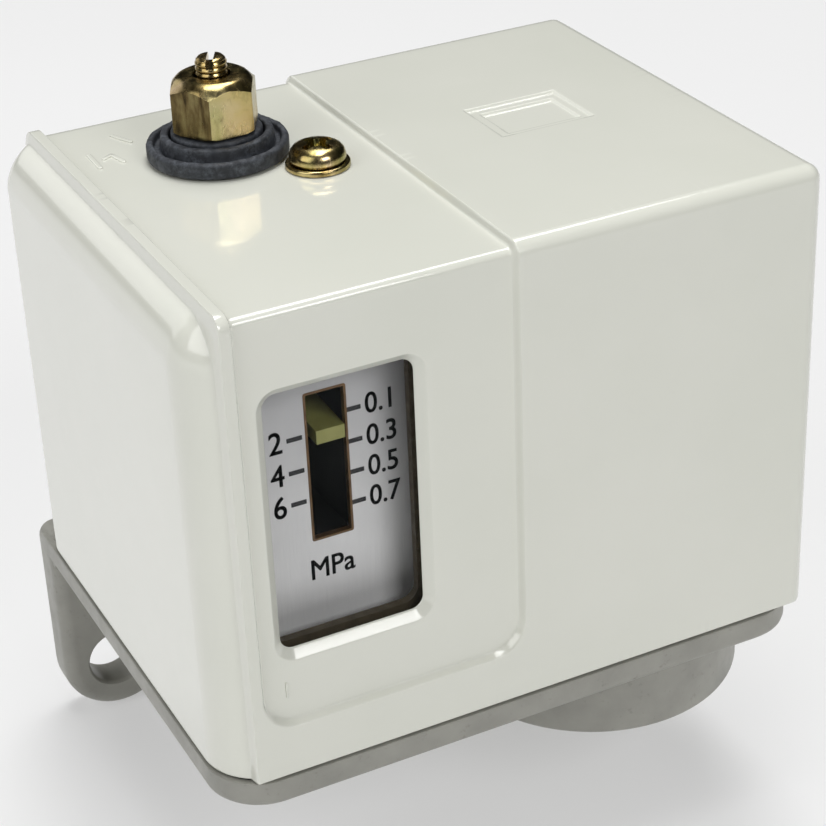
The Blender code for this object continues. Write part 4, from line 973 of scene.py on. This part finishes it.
def coil(levels, radius, wire, steps, sides):
    """Round wire wound about the adjuster's axis through the given heights, steps of them to a turn."""
    rings = []
    for i, level in levels:
        angle = 2 * math.pi * i / steps
        out = Vector((math.cos(angle), math.sin(angle), 0))
        centre = Vector((*ADJUSTER, level)) + out * radius
        rings.append([centre + out * wire * math.cos(t) + Vector((0, 0, wire * math.sin(t)))
                      for t in [2 * math.pi * k / sides for k in range(sides)]])
    return loft("coil", rings, angle=60)


def build_spring():
    """Range spring with closed ends, in two pieces: a foot of two turns on the base, and the rest of the coil
    on no body.
    """
    wire, turns, steps = 0.8, 8, 40
    low, high = SEAT_TOP + SPRING_GAP + wire, SEAT_UNDER - SPRING_GAP - wire
    end_rise = 2.3 * wire
    rise = (high - low - 2 * end_rise) / (turns - 2)

    def level(turn):
        if turn < 1:
            return low + end_rise * turn
        if turn > turns - 1:
            return high - end_rise * (turns - turn)
        return low + end_rise + rise * (turn - 1)

    levels = [(i, level(i / steps)) for i in range(turns * steps + 1)]
    foot_end = 2 * steps
    foot = show("coil_foot", coil(levels[:foot_end + 1], 6.0, wire, steps, 14), SPRING, "base", "spring",
                weighted=False)
    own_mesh(foot)
    made = show("coil", coil(levels[foot_end:], 6.0, wire, steps, 14), SPRING, None, "spring", "range_spring",
                weighted=False)
    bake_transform(made)


def build_cover_screw():
    low = 62.0
    washer = soften([(1.9, low + 0.7), (4.1, low + 0.7), (4.1, low), (1.9, low)], [0.1, 0.3, 0.1, 0.1], 4)
    show("screw_washer", turned("washer", washer, SCREW, 64), ZINC, "cover_screw_washer", "zinc",
         "cover_screw_washer")
    head = low + 0.8
    profile = [(0, head + 2.2), (1.6, head + 2.17), (2.5, head + 2.03), (3.05, head + 1.74),
               (3.4, head + 1.3), (3.58, head + 0.75), (3.6, head + 0.3), (3.5, head + 0.05), (3.3, head),
               (1.5, head)]
    profile += threads(1.6, 57.0, head - 0.4, 0.6, 0.22) + [(1.1, 56.5), (0, 56.5)]
    body = turned("screw", profile, SCREW, 56)
    cuts = [block((-2.7, -0.62, -1.2), (2.7, 0.62, 1.2), turn, 0.6, (*SCREW, head + 1.85))
            for turn in (20, 110)]
    dip = [(0, head + 3), (1.35, head + 3), (1.0, head + 1.1), (0, head + 0.5)]
    cuts.append(turned("dip", dip, SCREW, 24))
    show("screw_body", bevelled(boolean(body, cuts), 0.05, 2, 40), ZINC, "cover_screw", "zinc", "cover_screw")
    pillar = slab("pillar", shifted(hexagon(5.4, 0, 0.3), SCREW), 55.3, 59.7, 0.15)
    hole = turned("hole", [(0, 61), (2.1, 61), (1.8, 59.3), (1.8, 55.7), (2.1, 54), (0, 54)], SCREW, 24)
    show("pillar_body", boolean(pillar, [hole]), ZINC, "base", "zinc", "cover_pillar")


# ---------------------------------------------------------------- dial

def label(text, size, x, z, align):
    """Flat printed characters on the dial, as a mesh in metres; four copies side by side make them bold."""
    curve = bpy.data.curves.new("label", "FONT")
    curve.body = text
    curve.size = size * MM
    curve.align_x = align
    curve.align_y = "CENTER"
    curve.extrude = 0.02 * MM
    made = placed("label", curve)
    made.rotation_euler = (math.pi / 2, 0, 0)
    bpy.context.view_layer.update()
    turn = made.matrix_world.copy()
    flat = baked(made)
    flat.transform(turn @ Matrix.Diagonal((0.88, 1, 1, 1)))
    copies = []
    for shift_x, shift_z in ((-0.04, -0.03), (0.04, -0.03), (-0.04, 0.03), (0.04, 0.03)):
        copy = flat.copy()
        copy.transform(Matrix.Translation(Vector((x + shift_x, DIAL_FRONT - 0.02, z + shift_z)) * MM))
        copies.append(copy)
    return joined(*copies)


def scale_line(low, high, z):
    """Short printed line of the scale between two X values."""
    outline = rectangle(low, z - 0.3, high, z + 0.3, 0.05, 2)
    return slab("tick", outline, DIAL_FRONT - 0.04, DIAL_FRONT + 0.1, 0.0, "XZ")


def build_dial():
    face = slab("face", rectangle(-36, 14.3, -4, 54, 0.8, 4), DIAL_FRONT, DIAL_BACK, 0.08, "XZ")
    stem = slab("stem", rectangle(-10, -1.2, -4, 16, 0.4, 3), DIAL_FRONT + 0.02, DIAL_BACK - 0.02, 0.06, "XZ")
    foot = slab("foot", rectangle(-9.93, DIAL_FRONT + 0.12, -2.5, -53.5, 0.5, 4), -1.13, -0.4, 0.08)
    slot = rectangle(-25.35, 26.5, -19.95, 46.6, 0.3, 4)
    slot = slab("slot", slot, DIAL_FRONT - 1, DIAL_FRONT + 2, 0.0, "XZ")
    plate = boolean(boolean(face, [stem, foot], "UNION"), [slot, rod(1.7, -3, 1, DIAL_SCREW, 24)])
    show("dial_face", plate, DIAL, "base", "dial", "dial_plate")
    edge = rectangle(-25.4, 26.45, -19.9, 46.65, 0.3, 4)
    # slot_shade is a near-black sleeve behind the slot that is not in the CAD; it paints the shade inside the
    # slot.
    for name, wall, front, back, material, slot_name in (
            ("slot_liner", 0.3, DIAL_FRONT - 0.05, DIAL_BACK, SLOT_EDGE, "dial"),
            ("slot_shade", 0.25, -62.6, -51.0, SHADE, "switch")):
        ring = tunnel(name, edge, [(0.0, front), (wall, front), (wall, back), (0.0, back)])
        show(name, ring, material, "base", slot_name)

    prints = []
    for text, z in (("0.1", 43.0), ("0.3", 38.7), ("0.5", 34.5), ("0.7", 30.3)):
        prints += [label(text, 3.9, -17.6, z, "LEFT"), scale_line(-20.0, -18.1, z)]
    for text, z in (("2", 41.05), ("4", 36.6), ("6", 32.3)):
        prints += [label(text, 4.2, -28.3, z - 0.1, "RIGHT"), scale_line(-27.8, -25.8, z)]
    prints.append(label("MPa", 4.0, -23.0, 22.3, "CENTER"))
    show("dial_print", joined(*prints), INK, "base", "dial", weighted=False)


# ---------------------------------------------------------------- switch, screws, pieces kept from the CAD

def build_switch():
    body = slab("body", rectangle(-6, 18, 38, 38, 0.8, 4), -46.0, -29.5, 0.5, "XZ")
    button = [(0, 23), (1.9, 23), (1.9, 18.6), (2.5, 17), (0, 17)]
    tools = [turned("cut", button, (2.0, SWITCH_MIDDLE), 32)]
    tools += [rod(1.8, -10, 10, place, 28, SWITCH_MIDDLE, "Y") for place in SWITCH_SCREWS]
    tools += [rod(1.6, 34, 39, (x, SWITCH_MIDDLE), 24) for x in TERMINALS]
    tools += [block((x - 0.5, -46.5, 36.2), (x + 0.5, -29, 38.5)) for x in (8, 24)]
    tools.append(block((-6.4, -37.0, 19.4), (-5.75, -36.7, 37.2)))
    tools.append(block((37.75, -37.0, 19.4), (38.4, -36.7, 37.2)))
    tools += [block((9.0, -46.4, low), (23.0, -45.7, low + 0.9)) for low in (20.5, 23.0, 31.5, 34.0)]
    show("switch_case", boolean(body, tools), PHENOLIC, "base", "switch", "switch_body")


def pan_screw(name, node, centre, top, radius, height, shank, end, axis="Z", turn=30):
    """Slotted pan-head screw with a threaded shank, its underside at top."""
    profile = [(0, height), (radius * 0.55, height * 0.98), (radius * 0.84, height * 0.84),
               (radius * 0.97, height * 0.5), (radius, height * 0.2), (radius * 0.97, 0)]
    profile += threads(shank, end - top + 0.2, -0.3, 0.6, 0.2) + [(shank * 0.7, end - top), (0, end - top)]
    head = turned(name, profile, centre, 40, axis=axis, height=top)
    if axis == "Y":
        slot = block((-radius, -height * 0.45, -0.35), (radius, height * 0.45, 0.35),
                     centre=(centre[0], top - height, centre[1]))
    else:
        slot = block((-radius - 1, -0.35, -height * 0.45), (radius + 1, 0.35, height * 0.45), turn,
                     centre=(centre[0], centre[1], top + height))
    show(name, boolean(head, [slot]), ZINC, "base", "zinc", node)


def build_screws():
    for i, place in enumerate(BRACKET_SCREWS):
        pan_screw(f"bracket_pan_screw_{i + 1}", f"bracket_screw_{i + 1}", place, 0.6, 2.8, 1.9, 1.5, -3.0,
                  turn=40 * i)
    for i, place in enumerate(FOOT_SCREWS):
        pan_screw(f"foot_pan_screw_{i + 1}", f"switch_foot_screw_{i + 1}", place, 0.6, 2.8, 1.9, 1.5, -3.0,
                  turn=75 - 60 * i)
    pan_screw("dial_pan_screw", "dial_screw", DIAL_SCREW, -0.1, 2.6, 1.6, 1.5, -3.0, turn=15)
    pan_screw("earth_pan_screw", "earth_screw", EARTH_SCREW, -1.2, 3.0, 2.4, 1.5, -3.0, turn=50)
    for i, x in enumerate(TERMINALS):
        pan_screw(f"terminal_pan_screw_{i + 1}", f"terminal_screw_{i + 1}", (x, SWITCH_MIDDLE), 39.6, 2.9,
                  2.1, 1.3, 35.0, turn=20 + 35 * i)
    for i, place in enumerate(SWITCH_SCREWS):
        pan_screw(f"switch_pan_screw_{i + 1}", f"switch_screw_{i + 1}", place, -46.3, 2.8, 1.9, 1.5, -68.1,
                  "Y")


KEPT = {
    "main_lever": STEEL, "pivot_pin": STEEL, "pivot_clip": SPRING, "actuator_screw": BRASS,
    "actuator_nut": ZINC, "setpoint_pointer": POINTER, "range_bracket": STEEL, "switch_bracket": STEEL,
    "switch_nut_1": ZINC, "switch_nut_2": ZINC, "terminal_common": BRASS, "terminal_normally_open": BRASS,
    "terminal_normally_closed": BRASS, "switch_button": POINTER, "push_rod": STEEL, "cover_gasket": RUBBER,
    "housing_seal_ring": RUBBER, "cable_grommet": RUBBER,
}


def dress_kept_nodes():
    """Every CAD node that is still shown gets a detailed material and softened edges."""
    for name, material in KEPT.items():
        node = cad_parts[name]
        for slot in node.material_slots:
            slot.material = material
        bevel = node.modifiers.new("edges", "BEVEL")
        bevel.width = 0.12 * MM
        bevel.segments = 2
        bevel.limit_method = "ANGLE"
        bevel.angle_limit = math.radians(40)


# ---------------------------------------------------------------- stage

def build_camera():
    azimuth, elevation, roll = (math.radians(angle) for angle in CAMERA_TURN)
    back = Vector((math.sin(azimuth) * math.cos(elevation), -math.cos(azimuth) * math.cos(elevation),
                   math.sin(elevation)))
    side = (-back).cross(Vector((0, 0, 1))).normalized()
    over = side.cross(-back)
    right = side * math.cos(roll) + over * math.sin(roll)
    up = over * math.cos(roll) - side * math.sin(roll)
    data = bpy.data.cameras.new("camera")
    data.lens = FOCAL_LENGTH
    data.sensor_width = 36.0
    data.clip_start = 0.02
    data.clip_end = 20.0
    camera = bpy.data.objects.new("camera", data)
    bpy.context.scene.collection.objects.link(camera)
    place = Matrix((right, up, back)).transposed().to_4x4()
    place.translation = Vector(CAMERA_PLACE) * MM
    camera.matrix_world = place
    bpy.context.scene.camera = camera


def area_light(name, location, target, size, power):
    """Rectangular lamp that faces a target; places are in metres, power in watts."""
    data = bpy.data.lights.new(name, "AREA")
    data.shape = "RECTANGLE"
    data.size, data.size_y = size
    data.energy = power
    light = bpy.data.objects.new(name, data)
    bpy.context.scene.collection.objects.link(light)
    light.location = location
    light.rotation_euler = (Vector(target) - Vector(location)).to_track_quat("-Z", "Y").to_euler()


def build_stage():
    outline = rectangle(-3000, -3000, 3000, 3000, 40, 3)
    floor = placed("floor", slab("floor", outline, FLOOR_TOP - 10, FLOOR_TOP, 1.0))
    floor.data.materials.append(floor_material())
    world = bpy.data.worlds.new("studio")
    bpy.context.scene.world = world
    world.use_nodes = True
    tree = world.node_tree
    background = tree.nodes["Background"]
    put(background, Strength=WORLD_STRENGTH)
    split = add(tree, "ShaderNodeSeparateXYZ")
    link(add(tree, "ShaderNodeTexCoord").outputs["Generated"], split.inputs["Vector"])
    sky = ramp(tree, split.outputs["Z"], [(0.0, (0.06, 0.06, 0.06)), (0.45, (0.12, 0.12, 0.12)),
                                          (0.8, (0.45, 0.45, 0.45)), (1.0, (0.75, 0.75, 0.75))])
    link(sky, background.inputs["Color"])
    centre = (0, -0.04, 0.02)
    area_light("key_left", (-0.75, -0.25, 0.55), centre, (0.7, 0.7), KEY_POWER)
    area_light("top_soft", (0.12, 0.12, 1.0), centre, (0.5, 0.9), TOP_POWER)
    area_light("front_high", (0.18, -0.95, 0.66), centre, (0.5, 0.4), FRONT_POWER)
    area_light("back_left", (-0.5, 0.85, 0.45), centre, (0.9, 0.6), BACK_POWER)
    view = bpy.context.scene.view_settings
    view.view_transform = "Standard"
    view.look = "None"


build_camera()
build_cover()
build_base()
build_housing()
build_bellows()
build_adjuster()
build_spring()
build_cover_screw()
build_dial()
build_switch()
build_screws()
dress_kept_nodes()
build_stage()
